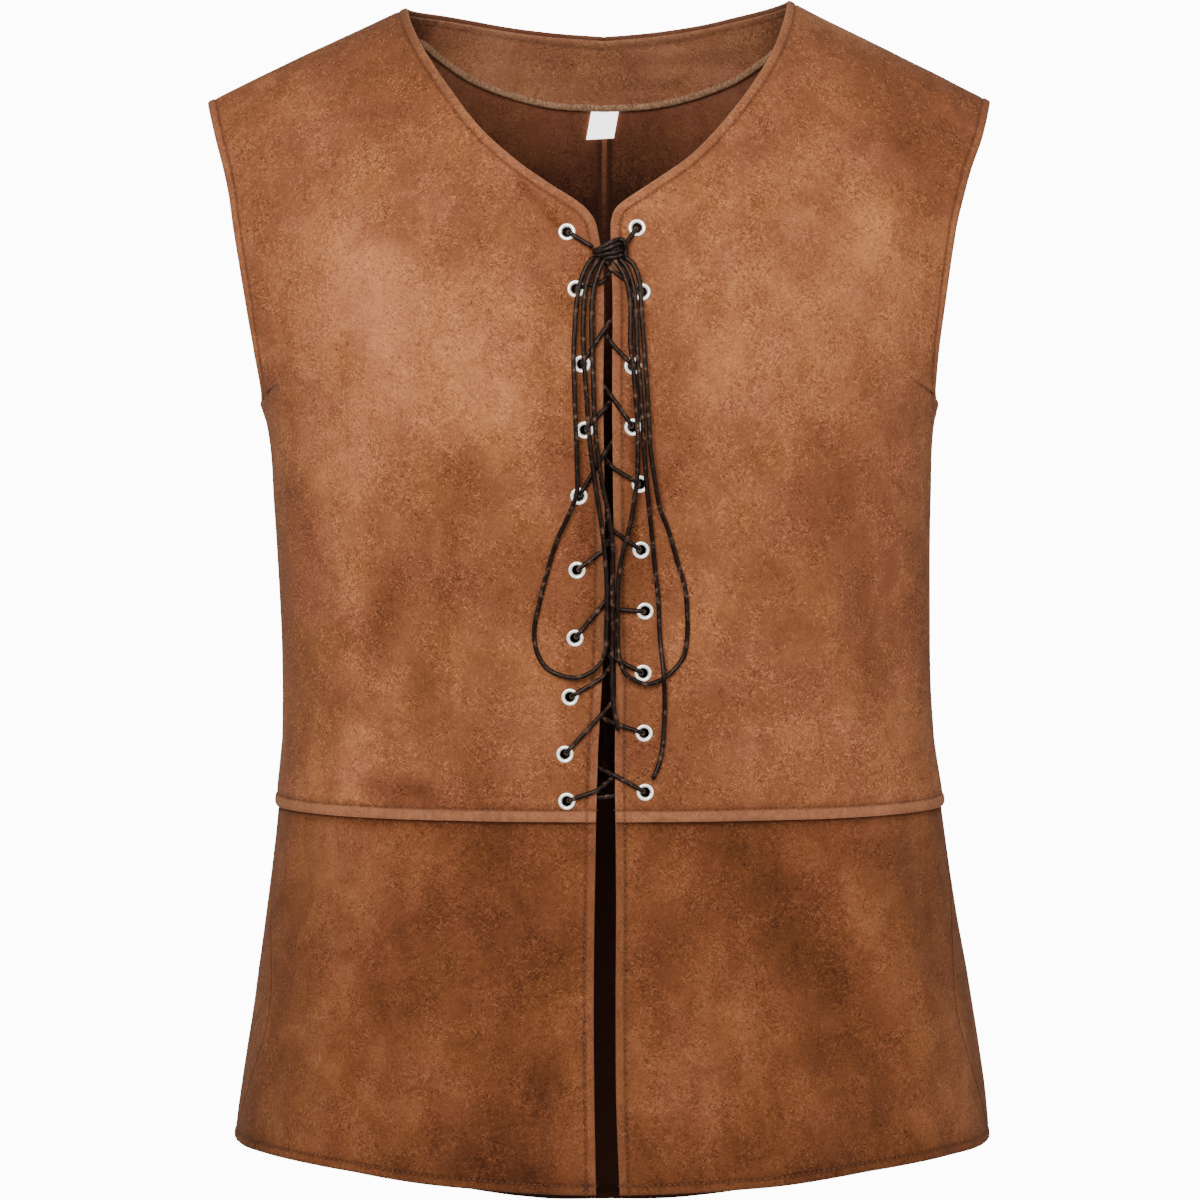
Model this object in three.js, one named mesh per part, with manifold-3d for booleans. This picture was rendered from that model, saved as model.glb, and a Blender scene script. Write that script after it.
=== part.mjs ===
// A sleeveless suede vest in renaissance style, laced down the front, with a short flared skirt.
//
// Millimetres, +Z up, the front faces -Y. The origin is on the centre plane, at the height where
// the shoulder seams meet the neckline. Right and left are the wearer's, so the right side is
// at -X. The vest keeps the hollow form that it has when it is worn.
//
// Every cloth panel lies on one surface. A place on it is a side, a turn round the body
// (0 at the front centre, PI at the back centre) and a height z. A wall of cloth is made of a
// grid of such places, moved half the cloth's thickness outwards and inwards.
import * as THREE from 'three';
import { mergeVertices } from 'three/addons/utils/BufferGeometryUtils.js';
import Module from 'manifold-3d';

// ---------- driving dimensions ----------
const SUEDE = 1.4;
const SEAM_GAP = 0.3;
const NECK_X = { right: 122, left: 113.5 };
const NECK_Z = { right: -3, left: 1.4 };
const NECK_ARCH = 41;
const SHOULDER_TIP = { z: -61, right: 246, left: 239.5 };
const ROUNDING = { depth: 220, power: 0.6 };
const SQUARENESS = 2.3;
const UNDERARM_Z = -252;
const WAIST_Z = -497;
const WAIST_LAP = 8;
const LAP_STEP = SUEDE + 0.6;
const LAP_EASE = 34;
const HEM_SIDE_Z = -705;
const HEM_DIP = { front: 9, back: 76 };
const HEM_RISE = 5;
const LACE_D = 2.8;
const LACE_CLEAR = 0.3;
const LACE_SIDES = { laced: 6, free: 8 };
const FREE_LACE_STEP = 3 * LACE_D;

// half widths of the right and left side, and depths of the front and back, at each height;
// above the underarm the widths are those of the body, and the armhole is cut inside them
const SECTIONS = [
  { z: 10, right: 268, left: 262, front: 114, back: 108 },
  { z: -100, right: 262, left: 256, front: 115, back: 110 },
  { z: -177, right: 247, left: 238, front: 118, back: 112 },
  { z: -215, right: 231, left: 222, front: 119, back: 112 },
  { z: -252, right: 211.6, left: 205.8, front: 118, back: 110 },
  { z: -307, right: 205.3, left: 202.8, front: 114, back: 105 },
  { z: -383, right: 200.8, left: 202.7, front: 109, back: 99 },
  { z: -433, right: 199.8, left: 204, front: 108, back: 98 },
  { z: -498, right: 203, left: 210.3, front: 111, back: 103 },
  { z: -552, right: 209, left: 217.6, front: 117, back: 110 },
  { z: -609, right: 217.1, left: 227.8, front: 126, back: 118 },
  { z: -666, right: 225.6, left: 236.9, front: 134, back: 125 },
  { z: -720, right: 232.4, left: 242, front: 139, back: 130 },
  { z: -790, right: 240, left: 248, front: 145, back: 136 },
];

// how far the neckline, and below it the laced front edge, lies from the centre plane
const FRONT_EDGE = [
  { z: 0, right: 122, left: 113.5 },
  { z: -16, right: 116.8, left: 109.5 },
  { z: -36, right: 106.8, left: 101.8 },
  { z: -60, right: 91.3, left: 87.7 },
  { z: -84, right: 73.6, left: 69.4 },
  { z: -104, right: 52.5, left: 50.2 },
  { z: -118, right: 33.5, left: 30.5 },
  { z: -128, right: 18, left: 15.4 },
  { z: -134, right: 10.6, left: 7.6 },
  { z: -141, right: 5.6, left: 4.2 },
  { z: -152, right: 3, left: 3.7 },
  { z: -165, right: 1, left: 4 },
  { z: -188, right: 0.1, left: 4.8 },
  { z: -247, right: 0.5, left: 4.6 },
  { z: -318, right: -0.4, left: 5.3 },
  { z: -365, right: -0.3, left: 5.4 },
  { z: -407, right: 0.9, left: 6.8 },
  { z: -460, right: 3.8, left: 6.3 },
  { z: -543, right: 5.6, left: 7 },
  { z: -601, right: 6.2, left: 6.7 },
  { z: -659, right: 5.8, left: 7 },
  { z: -720, right: 4.7, left: 9.3 },
];

// how far the armhole's edge lies from the centre plane
const ARMHOLE = [
  SHOULDER_TIP,
  { z: -86, right: 238.5, left: 231.7 },
  { z: -105, right: 232.4, left: 224.2 },
  { z: -124, right: 227.8, left: 218.3 },
  { z: -143, right: 224.7, left: 213.3 },
  { z: -180, right: 218, left: 207.2 },
  { z: -216, right: 212.4, left: 203 },
  { z: -240, right: 209.6, left: 202.6 },
  { z: -252, right: 211.6, left: 205.8 },
];

// the back neckline and the lower edge of the facing inside it, as depths below the neck points
const BACK_NECK = [
  { x: 0, z: -12 },
  { x: 30, z: -10 },
  { x: 60, z: -7 },
  { x: 84, z: -3.6 },
  { x: 104, z: -1.2 },
];
const FACING_EDGE = [
  { x: 0, z: -54.4 },
  { x: 30, z: -53 },
  { x: 56, z: -48 },
  { x: 84, z: -38.7 },
  { x: 104, z: -27 },
  { x: 117, z: -18 },
];
const FACING_ON_SHOULDER = 22;
const FACING = { thickness: 1.2, inset: 2.5, drop: 1.5, bands: 4 };
const LABEL = { width: 18, height: 18.5, thickness: 1, inset: 1.9, lean: -3.5, x: 1 };

// the side seam of the skirt swings forwards below the waist; turn is in degrees
const SKIRT_SEAM = [
  { z: -489, turn: 90 },
  { z: -520, turn: 86 },
  { z: -560, turn: 77 },
  { z: -605, turn: 68.5 },
  { z: -632, turn: 68 },
  { z: -660, turn: 72.5 },
  { z: -685, turn: 78 },
  { z: -720, turn: 84 },
];

// the largest soft folds: each runs from one place (x1, z1) to another (x2, z2) of its face,
// reaches half of `wide` to each side and stands `high` proud, or lies that deep if negative
const FOLDS = [
  { face: 'front', x1: -70, z1: -282, x2: -135, z2: -400, wide: 46, high: -3.2 },
  { face: 'front', x1: -118, z1: -395, x2: -165, z2: -470, wide: 40, high: 3.4 },
  { face: 'front', x1: -110, z1: -455, x2: -90, z2: -482, wide: 34, high: -2.4 },
  { face: 'front', x1: -80, z1: -190, x2: -150, z2: -150, wide: 60, high: 2.6 },
  { face: 'front', x1: 135, z1: -260, x2: 168, z2: -400, wide: 34, high: -3 },
  { face: 'front', x1: 128, z1: -330, x2: 150, z2: -455, wide: 38, high: 3 },
  { face: 'front', x1: 80, z1: -180, x2: 150, z2: -150, wide: 60, high: 2.6 },
  { face: 'front', x1: -140, z1: -530, x2: -160, z2: -640, wide: 60, high: 4 },
  { face: 'front', x1: -40, z1: -600, x2: -70, z2: -700, wide: 44, high: -4 },
  { face: 'front', x1: -95, z1: -540, x2: -110, z2: -690, wide: 52, high: 2.4 },
  { face: 'front', x1: 92, z1: -510, x2: 175, z2: -670, wide: 44, high: -4.6 },
  { face: 'front', x1: 150, z1: -520, x2: 195, z2: -640, wide: 48, high: 4 },
  { face: 'front', x1: 55, z1: -560, x2: 110, z2: -700, wide: 50, high: 3.6 },
  { face: 'front', x1: 30, z1: -600, x2: 45, z2: -690, wide: 34, high: -3 },
  { face: 'back', x1: -70, z1: -330, x2: -150, z2: -420, wide: 44, high: -3.2 },
  { face: 'back', x1: 64, z1: -345, x2: 140, z2: -440, wide: 46, high: -3 },
  { face: 'back', x1: -60, z1: -430, x2: -20, z2: -470, wide: 36, high: 2.6 },
  { face: 'back', x1: -150, z1: -530, x2: -172, z2: -720, wide: 50, high: 4 },
  { face: 'back', x1: -80, z1: -520, x2: -92, z2: -750, wide: 46, high: -4.4 },
  { face: 'back', x1: -8, z1: -540, x2: 4, z2: -775, wide: 54, high: 4 },
  { face: 'back', x1: 76, z1: -520, x2: 94, z2: -750, wide: 48, high: -4.2 },
  { face: 'back', x1: 148, z1: -530, x2: 174, z2: -720, wide: 52, high: 4.2 },
];

// eyelet centres, and where the lace that comes up through each one crosses the front gap
const EYELETS = {
  right: [
    { x: -21.9, z: -148.9 },
    { x: -16.6, z: -182.3, crossZ: -175 },
    { x: -13.1, z: -226.2, crossZ: -203 },
    { x: -11.4, z: -264.8, crossZ: -250 },
    { x: -14.9, z: -303.7, crossZ: -275.5 },
    { x: -16.1, z: -347.4, crossZ: -330 },
    { x: -17.3, z: -387.7, crossZ: -361.5 },
    { x: -20.3, z: -422.8, crossZ: -406 },
    { x: -23.3, z: -456.7, crossZ: -429 },
    { x: -22.1, z: -484.5, crossZ: -474 },
  ],
  left: [
    { x: 19.2, z: -146.5 },
    { x: 22.1, z: -184.1, crossZ: -168 },
    { x: 16.8, z: -227.4, crossZ: -211 },
    { x: 16.8, z: -263.1, crossZ: -242.5 },
    { x: 21.1, z: -296.6, crossZ: -284 },
    { x: 21.7, z: -335.5, crossZ: -321 },
    { x: 24.1, z: -371.7, crossZ: -368 },
    { x: 23, z: -408.6, crossZ: -398 },
    { x: 23.6, z: -444.2, crossZ: -436.5 },
    { x: 24.2, z: -479.2, crossZ: -467 },
  ],
};
const EYELET = { bore: 2.7, barrel: 3.1, flange: 5.2, crown: 4.1, rearFlange: 4.5, height: 0.8, sides: 8 };
const EYELET_SEAT = { front: SUEDE / 2 + 0.35, rear: SUEDE / 2 + 0.7 };
const PUNCH = { radius: EYELET.barrel + SEAM_GAP, length: 12, sides: 10 };

const KNOT = { x: 2.3, z: -158.6, lift: 5.1, halfWidth: 8, halfHeight: 4.6, halfDepth: 3.9 };
const KNOT_BALL = { sides: 12, rings: 8 };

// the free strands of the bow, as places on the front with their height over the cloth's middle
const BOW_ROUTES = {
  bow_loop_right: [
    { x: -5.4, z: -163.7, lift: 5 },
    { x: -9.2, z: -168, lift: 5.9 },
    { x: -13.4, z: -177, lift: 6.6 },
    { x: -15.9, z: -189, lift: 6.6 },
    { x: -17.2, z: -206, lift: 6.6 },
    { x: -17.8, z: -218, lift: 6.6 },
    { x: -17.4, z: -240, lift: 6.6 },
    { x: -16.6, z: -262, lift: 6.6 },
    { x: -15.9, z: -285, lift: 6.6 },
    { x: -16.2, z: -302, lift: 6.6 },
    { x: -22, z: -317, lift: 5.4 },
    { x: -27.6, z: -329, lift: 3.8 },
    { x: -33.6, z: -348.5, lift: 2.6 },
    { x: -38.3, z: -367.5, lift: 2.4 },
    { x: -41.2, z: -382, lift: 2.4 },
    { x: -40, z: -395, lift: 2.4 },
    { x: -34.4, z: -405, lift: 2.6 },
    { x: -25.2, z: -409.8, lift: 3.8 },
    { x: -16, z: -410.8, lift: 5.8 },
    { x: -8.4, z: -408, lift: 6.6 },
    { x: -2.4, z: -402.6, lift: 6.6 },
    { x: 0.6, z: -395, lift: 6.6 },
    { x: 1.5, z: -377, lift: 6.6 },
    { x: 1.4, z: -353, lift: 6.6 },
    { x: -0.1, z: -332.5, lift: 6.6 },
    { x: -2.4, z: -315, lift: 6.6 },
    { x: -4.8, z: -300, lift: 6.6 },
    { x: -7.2, z: -282.5, lift: 6.6 },
    { x: -9, z: -265, lift: 6.6 },
    { x: -10.2, z: -247, lift: 6.6 },
    { x: -11.4, z: -230, lift: 6.6 },
    { x: -12.3, z: -215.5, lift: 6.6 },
    { x: -12.2, z: -196, lift: 6.6 },
    { x: -10.2, z: -179.5, lift: 6.6 },
    { x: -6.2, z: -170, lift: 5.9 },
    { x: -2.1, z: -163.9, lift: 5 },
  ],
  lace_end_right: [
    { x: 1.1, z: -164, lift: 5 },
    { x: -2.5, z: -171, lift: 5.9 },
    { x: -5.8, z: -181, lift: 6.6 },
    { x: -7.4, z: -196, lift: 6.6 },
    { x: -7.2, z: -215.5, lift: 6.6 },
    { x: -6.5, z: -235.5, lift: 6.6 },
    { x: -5.2, z: -265, lift: 6.6 },
    { x: -3.2, z: -282.5, lift: 6.6 },
    { x: -0.6, z: -299, lift: 6.6 },
    { x: 2.4, z: -313.5, lift: 6.6 },
    { x: 4.6, z: -330, lift: 6.6 },
    { x: 4.8, z: -353, lift: 6.6 },
    { x: 4.7, z: -377, lift: 6.6 },
    { x: 4.6, z: -395, lift: 6.6 },
    { x: 4.8, z: -418.5, lift: 6.6 },
    { x: 6, z: -431.5, lift: 6.6 },
    { x: 8.3, z: -443, lift: 6.6 },
  ],
  bow_loop_left: [
    { x: 11.2, z: -163.7, lift: 5 },
    { x: 16.8, z: -168.5, lift: 5.9 },
    { x: 20.6, z: -179, lift: 6.6 },
    { x: 21.6, z: -196, lift: 6.6 },
    { x: 23.2, z: -218, lift: 6.6 },
    { x: 25.2, z: -247, lift: 6.6 },
    { x: 26.7, z: -274, lift: 6.6 },
    { x: 29.4, z: -294, lift: 6.4 },
    { x: 32.8, z: -311.5, lift: 5 },
    { x: 37, z: -322, lift: 3.6 },
    { x: 42.6, z: -341, lift: 2.5 },
    { x: 47.4, z: -357.5, lift: 2.4 },
    { x: 48.8, z: -372, lift: 2.4 },
    { x: 48.8, z: -387.5, lift: 2.4 },
    { x: 46.6, z: -399, lift: 2.4 },
    { x: 39.6, z: -408, lift: 2.8 },
    { x: 32.4, z: -412.8, lift: 4.2 },
    { x: 24.6, z: -414.6, lift: 6 },
    { x: 18.6, z: -412.6, lift: 6.6 },
    { x: 12.8, z: -408.8, lift: 6.6 },
    { x: 9.4, z: -401.8, lift: 6.6 },
    { x: 8, z: -392, lift: 6.6 },
    { x: 7.9, z: -377, lift: 6.6 },
    { x: 8, z: -357.5, lift: 6.6 },
    { x: 9.6, z: -342.5, lift: 6.6 },
    { x: 13.1, z: -328, lift: 6.6 },
    { x: 15.4, z: -318.5, lift: 6.6 },
    { x: 17.8, z: -303.5, lift: 6.6 },
    { x: 19, z: -294, lift: 6.6 },
    { x: 19.4, z: -264, lift: 6.6 },
    { x: 18.2, z: -245, lift: 6.6 },
    { x: 16.4, z: -225, lift: 6.6 },
    { x: 15.2, z: -215, lift: 6.6 },
    { x: 15, z: -190, lift: 6.6 },
    { x: 12.4, z: -177, lift: 6.6 },
    { x: 8.4, z: -169.5, lift: 5.9 },
    { x: 4.3, z: -163.9, lift: 5 },
  ],
  lace_end_left: [
    { x: 7.8, z: -164, lift: 5 },
    { x: 12.9, z: -170.2, lift: 5.9 },
    { x: 16.9, z: -181, lift: 6.6 },
    { x: 18.4, z: -196, lift: 6.6 },
    { x: 19.2, z: -218, lift: 6.6 },
    { x: 21.6, z: -247, lift: 6.6 },
    { x: 22.9, z: -270, lift: 6.6 },
    { x: 24.4, z: -294, lift: 6.4 },
    { x: 27, z: -318, lift: 4.2 },
    { x: 29.4, z: -342.5, lift: 2.5 },
    { x: 31.6, z: -363, lift: 2.4 },
    { x: 32.8, z: -388, lift: 3 },
    { x: 34, z: -400, lift: 5.4 },
    { x: 34.8, z: -411, lift: 7.3 },
    { x: 35.4, z: -421, lift: 5.2 },
    { x: 35.6, z: -432, lift: 2.6 },
    { x: 35, z: -445, lift: 2.4 },
    { x: 33.8, z: -456, lift: 2.4 },
    { x: 31.4, z: -465, lift: 2.4 },
    { x: 28.4, z: -472, lift: 2.4 },
  ],
};

// ---------- materials ----------
function finish(color, roughness, metalness = 0) {
  return new THREE.MeshStandardMaterial({ color, roughness, metalness });
}
const TAN_SUEDE = finish(0xa0663f, 0.95);
const BROWN_SUEDE = finish(0x82512e, 0.95);
const FACING_SUEDE = finish(0x87573b, 0.95);
const LABEL_CLOTH = finish(0xf1efe9, 0.9);
const EYELET_METAL = finish(0xcfc6b4, 0.35, 1);
const LACE_LEATHER = finish(0x2a1c14, 0.6);

// ---------- the body's surface ----------
const POWER = 2 / SQUARENESS;
const signOf = (side) => (side === 'right' ? -1 : 1);

// a smooth value between the rows of a table that is ordered by `by`
function between(table, key, at, by = 'z') {
  const rows = table[0][by] < table[1][by] ? table : [...table].reverse();
  const last = rows.length - 1;
  const value = Math.min(Math.max(at, rows[0][by]), rows[last][by]);
  let i = 0;
  while (i < last - 1 && value > rows[i + 1][by]) i += 1;
  const slope = (k) => {
    const low = rows[Math.max(k - 1, 0)];
    const high = rows[Math.min(k + 1, last)];
    return (high[key] - low[key]) / (high[by] - low[by]);
  };
  const step = rows[i + 1][by] - rows[i][by];
  const t = (value - rows[i][by]) / step;
  const ease = 3 * t ** 2 - 2 * t ** 3;
  const values = (1 - ease) * rows[i][key] + ease * rows[i + 1][key];
  return values + step * ((t ** 3 - 2 * t ** 2 + t) * slope(i) + (t ** 3 - t ** 2) * slope(i + 1));
}

function shoulderFall(side) {
  return (NECK_Z[side] - SHOULDER_TIP.z) / (SHOULDER_TIP[side] - NECK_X[side]);
}

// the height of the shoulder ridge, and of its arch over the neck, at a distance from the centre
function ridgeZ(side, x) {
  const neck = NECK_X[side];
  const out = Math.abs(x) / neck;
  if (out > 1) return NECK_Z[side] - shoulderFall(side) * (Math.abs(x) - neck);
  return NECK_Z[side] * out + NECK_ARCH * (1 - out ** 2);
}

// how much of its full depth the body has at a place below the ridge
function roundOver(side, x, z) {
  const share = Math.min(Math.max((ridgeZ(side, x) - z) / ROUNDING.depth, 0), 1);
  return (1 - (1 - share) ** 2) ** ROUNDING.power;
}

const power = (value) => Math.sign(value) * Math.abs(value) ** POWER;

function smoothPlace(side, turn, z) {
  const x = signOf(side) * between(SECTIONS, side, z) * power(Math.sin(turn));
  const face = Math.cos(turn) > 0 ? 'front' : 'back';
  const y = -between(SECTIONS, face, z) * power(Math.cos(turn)) * roundOver(side, x, z);
  return new THREE.Vector3(x, y, z);
}

function outward(side, turn, z) {
  const at = smoothPlace(side, turn, z);
  const below = Math.max(ridgeZ(side, at.x) - z, 0);
  if (below < 0.01) {
    return new THREE.Vector3(signOf(side) * shoulderFall(side), 0, 1).normalize();
  }
  const dz = Math.min(0.5, below / 4);
  const dTurn = 0.002;
  const along = smoothPlace(side, turn + dTurn, z).sub(smoothPlace(side, turn - dTurn, z));
  const up = smoothPlace(side, turn, z + dz).sub(smoothPlace(side, turn, z - dz));
  return along.cross(up).multiplyScalar(signOf(side)).normalize();
}

function foldHeight(face, x, z) {
  let height = 0;
  for (const fold of FOLDS) {
    if (fold.face !== face) continue;
    const run = new THREE.Vector2(fold.x2 - fold.x1, fold.z2 - fold.z1);
    const from = new THREE.Vector2(x - fold.x1, z - fold.z1);
    const t = from.dot(run) / run.lengthSq();
    const off = from.addScaledVector(run, -Math.min(Math.max(t, 0), 1)).length();
    height += fold.high * Math.exp(-((off / (fold.wide / 2)) ** 2));
  }
  return height;
}

// the middle of the cloth, with its folds, and the way out of it
function cloth(side, turn, z) {
  const at = smoothPlace(side, turn, z);
  const out = outward(side, turn, z);
  const face = turn < Math.PI / 2 ? 'front' : 'back';
  const fade = Math.min(1, Math.abs(Math.cos(turn)) * 3);
  return { at: at.addScaledVector(out, fade * foldHeight(face, at.x, z)), out };
}

function turnOf(side, x, z, face = 'front') {
  const share = Math.min(Math.abs(x) / between(SECTIONS, side, z), 1);
  const turn = Math.asin(share ** (SQUARENESS / 2)) * Math.sign(x * signOf(side) || 1);
  return face === 'front' ? turn : Math.PI - turn;
}

// the lower edge of the bodice steps out over the top of the skirt
function lapStep(z) {
  const start = WAIST_Z + WAIST_LAP + LAP_EASE;
  const end = WAIST_Z + WAIST_LAP;
  return LAP_STEP * Math.min(Math.max((start - z) / (start - end), 0), 1);
}

// a place on the front of the bodice, given by its x, at a height over the cloth's middle
function onFront(x, z, lift) {
  const side = x < 0 ? 'right' : 'left';
  const turn = turnOf(side, x, z);
  return smoothPlace(side, turn, z).addScaledVector(outward(side, turn, z), lift + lapStep(z));
}

// ---------- closed walls from grids ----------
// grid[row][column] is { at, out }; the wall reaches half its thickness to each side of it
function wall(grid, thickness) {
  const rows = grid.length;
  const columns = grid[0].length;
  const corners = [];
  for (const reach of [thickness / 2, -thickness / 2]) {
    for (const row of grid) {
      for (const { at, out } of row) {
        corners.push(...at.clone().addScaledVector(out, reach).toArray());
      }
    }
  }
  const inner = rows * columns;
  const index = (r, c, face) => face * inner + r * columns + c;
  const faces = [];
  const quad = (a, b, c, d) => faces.push(a, b, c, a, c, d);
  for (let r = 0; r < rows - 1; r += 1) {
    for (let c = 0; c < columns - 1; c += 1) {
      quad(index(r, c, 0), index(r + 1, c, 0), index(r + 1, c + 1, 0), index(r, c + 1, 0));
      quad(index(r, c, 1), index(r, c + 1, 1), index(r + 1, c + 1, 1), index(r + 1, c, 1));
    }
  }
  for (let c = 0; c < columns - 1; c += 1) {
    quad(index(0, c, 0), index(0, c + 1, 0), index(0, c + 1, 1), index(0, c, 1));
    quad(index(rows - 1, c + 1, 0), index(rows - 1, c, 0), index(rows - 1, c, 1), index(rows - 1, c + 1, 1));
  }
  const end = columns - 1;
  for (let r = 0; r < rows - 1; r += 1) {
    quad(index(r + 1, 0, 0), index(r, 0, 0), index(r, 0, 1), index(r + 1, 0, 1));
    quad(index(r, end, 0), index(r + 1, end, 0), index(r + 1, end, 1), index(r, end, 1));
  }
  return facingOut(corners, faces);
}

function facingOut(corners, faces) {
  const at = (i) => new THREE.Vector3().fromArray(corners, 3 * i);
  let volume = 0;
  for (let i = 0; i < faces.length; i += 3) {
    volume += at(faces[i]).dot(at(faces[i + 1]).cross(at(faces[i + 2])));
  }
  const turned = volume > 0 ? faces : [...faces].reverse();
  const geometry = new THREE.BufferGeometry();
  geometry.setAttribute('position', new THREE.Float32BufferAttribute(corners, 3));
  geometry.setIndex(turned);
  geometry.computeVertexNormals();
  return geometry;
}

// moves an edge of a grid half a seam gap along `way`, and squares its wall to the seam
function seamEdge(cells, way) {
  for (const cell of cells) {
    cell.at.addScaledVector(way, SEAM_GAP / 2);
    cell.out.addScaledVector(way, -cell.out.dot(way)).normalize();
  }
}

const FORWARD = new THREE.Vector3(0, -1, 0);
const BACKWARD = new THREE.Vector3(0, 1, 0);

// ---------- bodice ----------
const COLUMNS = 12;
const NECK_COLUMNS = 5;
const BODICE_ROWS = [
  { inner: 0, outer: SHOULDER_TIP.z },
  { inner: -1.5, outer: SHOULDER_TIP.z - 1.5 },
  { inner: -4, outer: SHOULDER_TIP.z - 4 },
  { inner: -14, outer: -73 },
  { inner: -31, outer: -90 },
  { inner: -50, outer: -109 },
  { inner: -70, outer: -127 },
  { inner: -90, outer: -145 },
  { inner: -107, outer: -163 },
  { inner: -120, outer: -181 },
  { inner: -130, outer: -199 },
  { inner: -138, outer: -217 },
  { inner: -150, outer: -233 },
  { inner: -172, outer: -245 },
  { inner: -198, outer: UNDERARM_Z },
  { inner: -230, outer: -276 },
  { inner: -266, outer: -304 },
  { inner: -306, outer: -337 },
  { inner: -348, outer: -373 },
  { inner: -390, outer: -408 },
  { inner: -430, outer: -437 },
  { inner: WAIST_Z + WAIST_LAP + LAP_EASE, outer: WAIST_Z + WAIST_LAP + LAP_EASE },
  { inner: WAIST_Z + WAIST_LAP, outer: WAIST_Z + WAIST_LAP },
  { inner: WAIST_Z, outer: WAIST_Z },
];
const UNDERARM_ROW = BODICE_ROWS.findIndex((row) => row.outer === UNDERARM_Z);
const LAST_ROW = BODICE_ROWS.length - 1;

const mix = (a, b, t) => a + (b - a) * t;

function armholeOrSide(side, z, face) {
  if (z <= UNDERARM_Z) return Math.PI / 2;
  return turnOf(side, signOf(side) * between(ARMHOLE, side, z), z, face);
}

// fills a grid between its side edges, and bends its first rows on to the panel's top edge
function bodiceGrid(side, innerTurn, outerTurn, topEdge) {
  const straightRow = (row, u) => ({
    turn: mix(innerTurn(row.inner), outerTurn(row.outer), u),
    z: mix(row.inner, row.outer, u),
  });
  return BODICE_ROWS.map((row, r) => {
    const keep = (1 - r / LAST_ROW) ** 2;
    const cells = [];
    for (let c = 0; c <= COLUMNS; c += 1) {
      const u = c / COLUMNS;
      const top = topEdge(u);
      const first = straightRow(BODICE_ROWS[0], u);
      const straight = straightRow(row, u);
      const z = straight.z + keep * (top.z - first.z);
      const cell = cloth(side, straight.turn + keep * (top.turn - first.turn), z);
      cell.at.addScaledVector(cell.out, lapStep(z));
      cells.push(cell);
    }
    return cells;
  });
}

function frontBodiceGrid(side) {
  const innerTurn = (z) => turnOf(side, signOf(side) * between(FRONT_EDGE, side, z), z);
  const outerTurn = (z) => armholeOrSide(side, z, 'front');
  const topEdge = (u) => {
    const x = mix(NECK_X[side], SHOULDER_TIP[side], u);
    const z = ridgeZ(side, x);
    return { turn: turnOf(side, signOf(side) * x, z), z };
  };
  const grid = bodiceGrid(side, innerTurn, outerTurn, topEdge);
  seamEdge(grid[0], FORWARD);
  seamEdge(grid.slice(UNDERARM_ROW).map((row) => row[COLUMNS]), FORWARD);
  return grid;
}

function backNeckZ(side, x) {
  const rows = [...BACK_NECK, { x: NECK_X[side], z: 0 }];
  return between(rows, 'z', x, 'x') + NECK_Z[side] * (x / NECK_X[side]) ** 2;
}

// a share of the way along the neckline, with shorter steps where it bends up to the shoulder
const neckStep = (share) => Math.sin((share * Math.PI) / 2);

function backBodiceGrid(side) {
  const neckShare = NECK_COLUMNS / COLUMNS;
  const innerTurn = () => Math.PI;
  const outerTurn = (z) => armholeOrSide(side, z, 'back');
  const topEdge = (u) => {
    const onNeck = u <= neckShare + 1e-9;
    const x = onNeck
      ? NECK_X[side] * neckStep(u / neckShare)
      : mix(NECK_X[side], SHOULDER_TIP[side], (u - neckShare) / (1 - neckShare));
    const z = onNeck ? backNeckZ(side, x) : ridgeZ(side, x);
    return { turn: turnOf(side, signOf(side) * x, z, 'back'), z };
  };
  const grid = bodiceGrid(side, innerTurn, outerTurn, topEdge);
  seamEdge(grid[0].slice(NECK_COLUMNS), BACKWARD);
  seamEdge(grid.slice(UNDERARM_ROW).map((row) => row[COLUMNS]), BACKWARD);
  seamEdge(grid.map((row) => row[0]), new THREE.Vector3(signOf(side), 0, 0));
  return grid;
}

// ---------- skirt ----------
const SKIRT_TOP_Z = WAIST_Z + WAIST_LAP - SEAM_GAP;
const SKIRT_ROWS = [0, 0.05, 0.14, 0.25, 0.38, 0.51, 0.64, 0.76, 0.87, 0.95, 1];

// the hem dips at the front centre and far more at the back, and rises a little in between
function hemZ(turn) {
  const dip = Math.cos(turn) > 0 ? HEM_DIP.front : HEM_DIP.back;
  return HEM_SIDE_Z - dip * Math.cos(turn) ** 2 + HEM_RISE * Math.sin(2 * turn) ** 2;
}

const seamTurn = (z) => THREE.MathUtils.degToRad(between(SKIRT_SEAM, 'turn', z));

function skirtCell(side, turn, share) {
  const z = mix(SKIRT_TOP_Z, hemZ(turn), share);
  return cloth(side, turn, z);
}

// the way along the cloth, round the body, at a grid's cell
function alongSeam(cells, side, sense) {
  for (const cell of cells) {
    const turn = seamTurn(cell.at.z);
    const way = smoothPlace(side, turn + 0.01, cell.at.z).sub(smoothPlace(side, turn - 0.01, cell.at.z));
    seamEdge([cell], way.normalize().multiplyScalar(sense));
  }
}

function frontSkirtGrid(side) {
  const grid = SKIRT_ROWS.map((share) => {
    const cells = [];
    for (let c = 0; c <= COLUMNS; c += 1) {
      const nearZ = mix(SKIRT_TOP_Z, hemZ(0), share);
      const farZ = mix(SKIRT_TOP_Z, hemZ(Math.PI / 2), share);
      const nearTurn = turnOf(side, signOf(side) * between(FRONT_EDGE, side, nearZ), nearZ);
      cells.push(skirtCell(side, mix(nearTurn, seamTurn(farZ), c / COLUMNS), share));
    }
    return cells;
  });
  alongSeam(grid.map((row) => row[COLUMNS]), side, -1);
  return grid;
}

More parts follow.
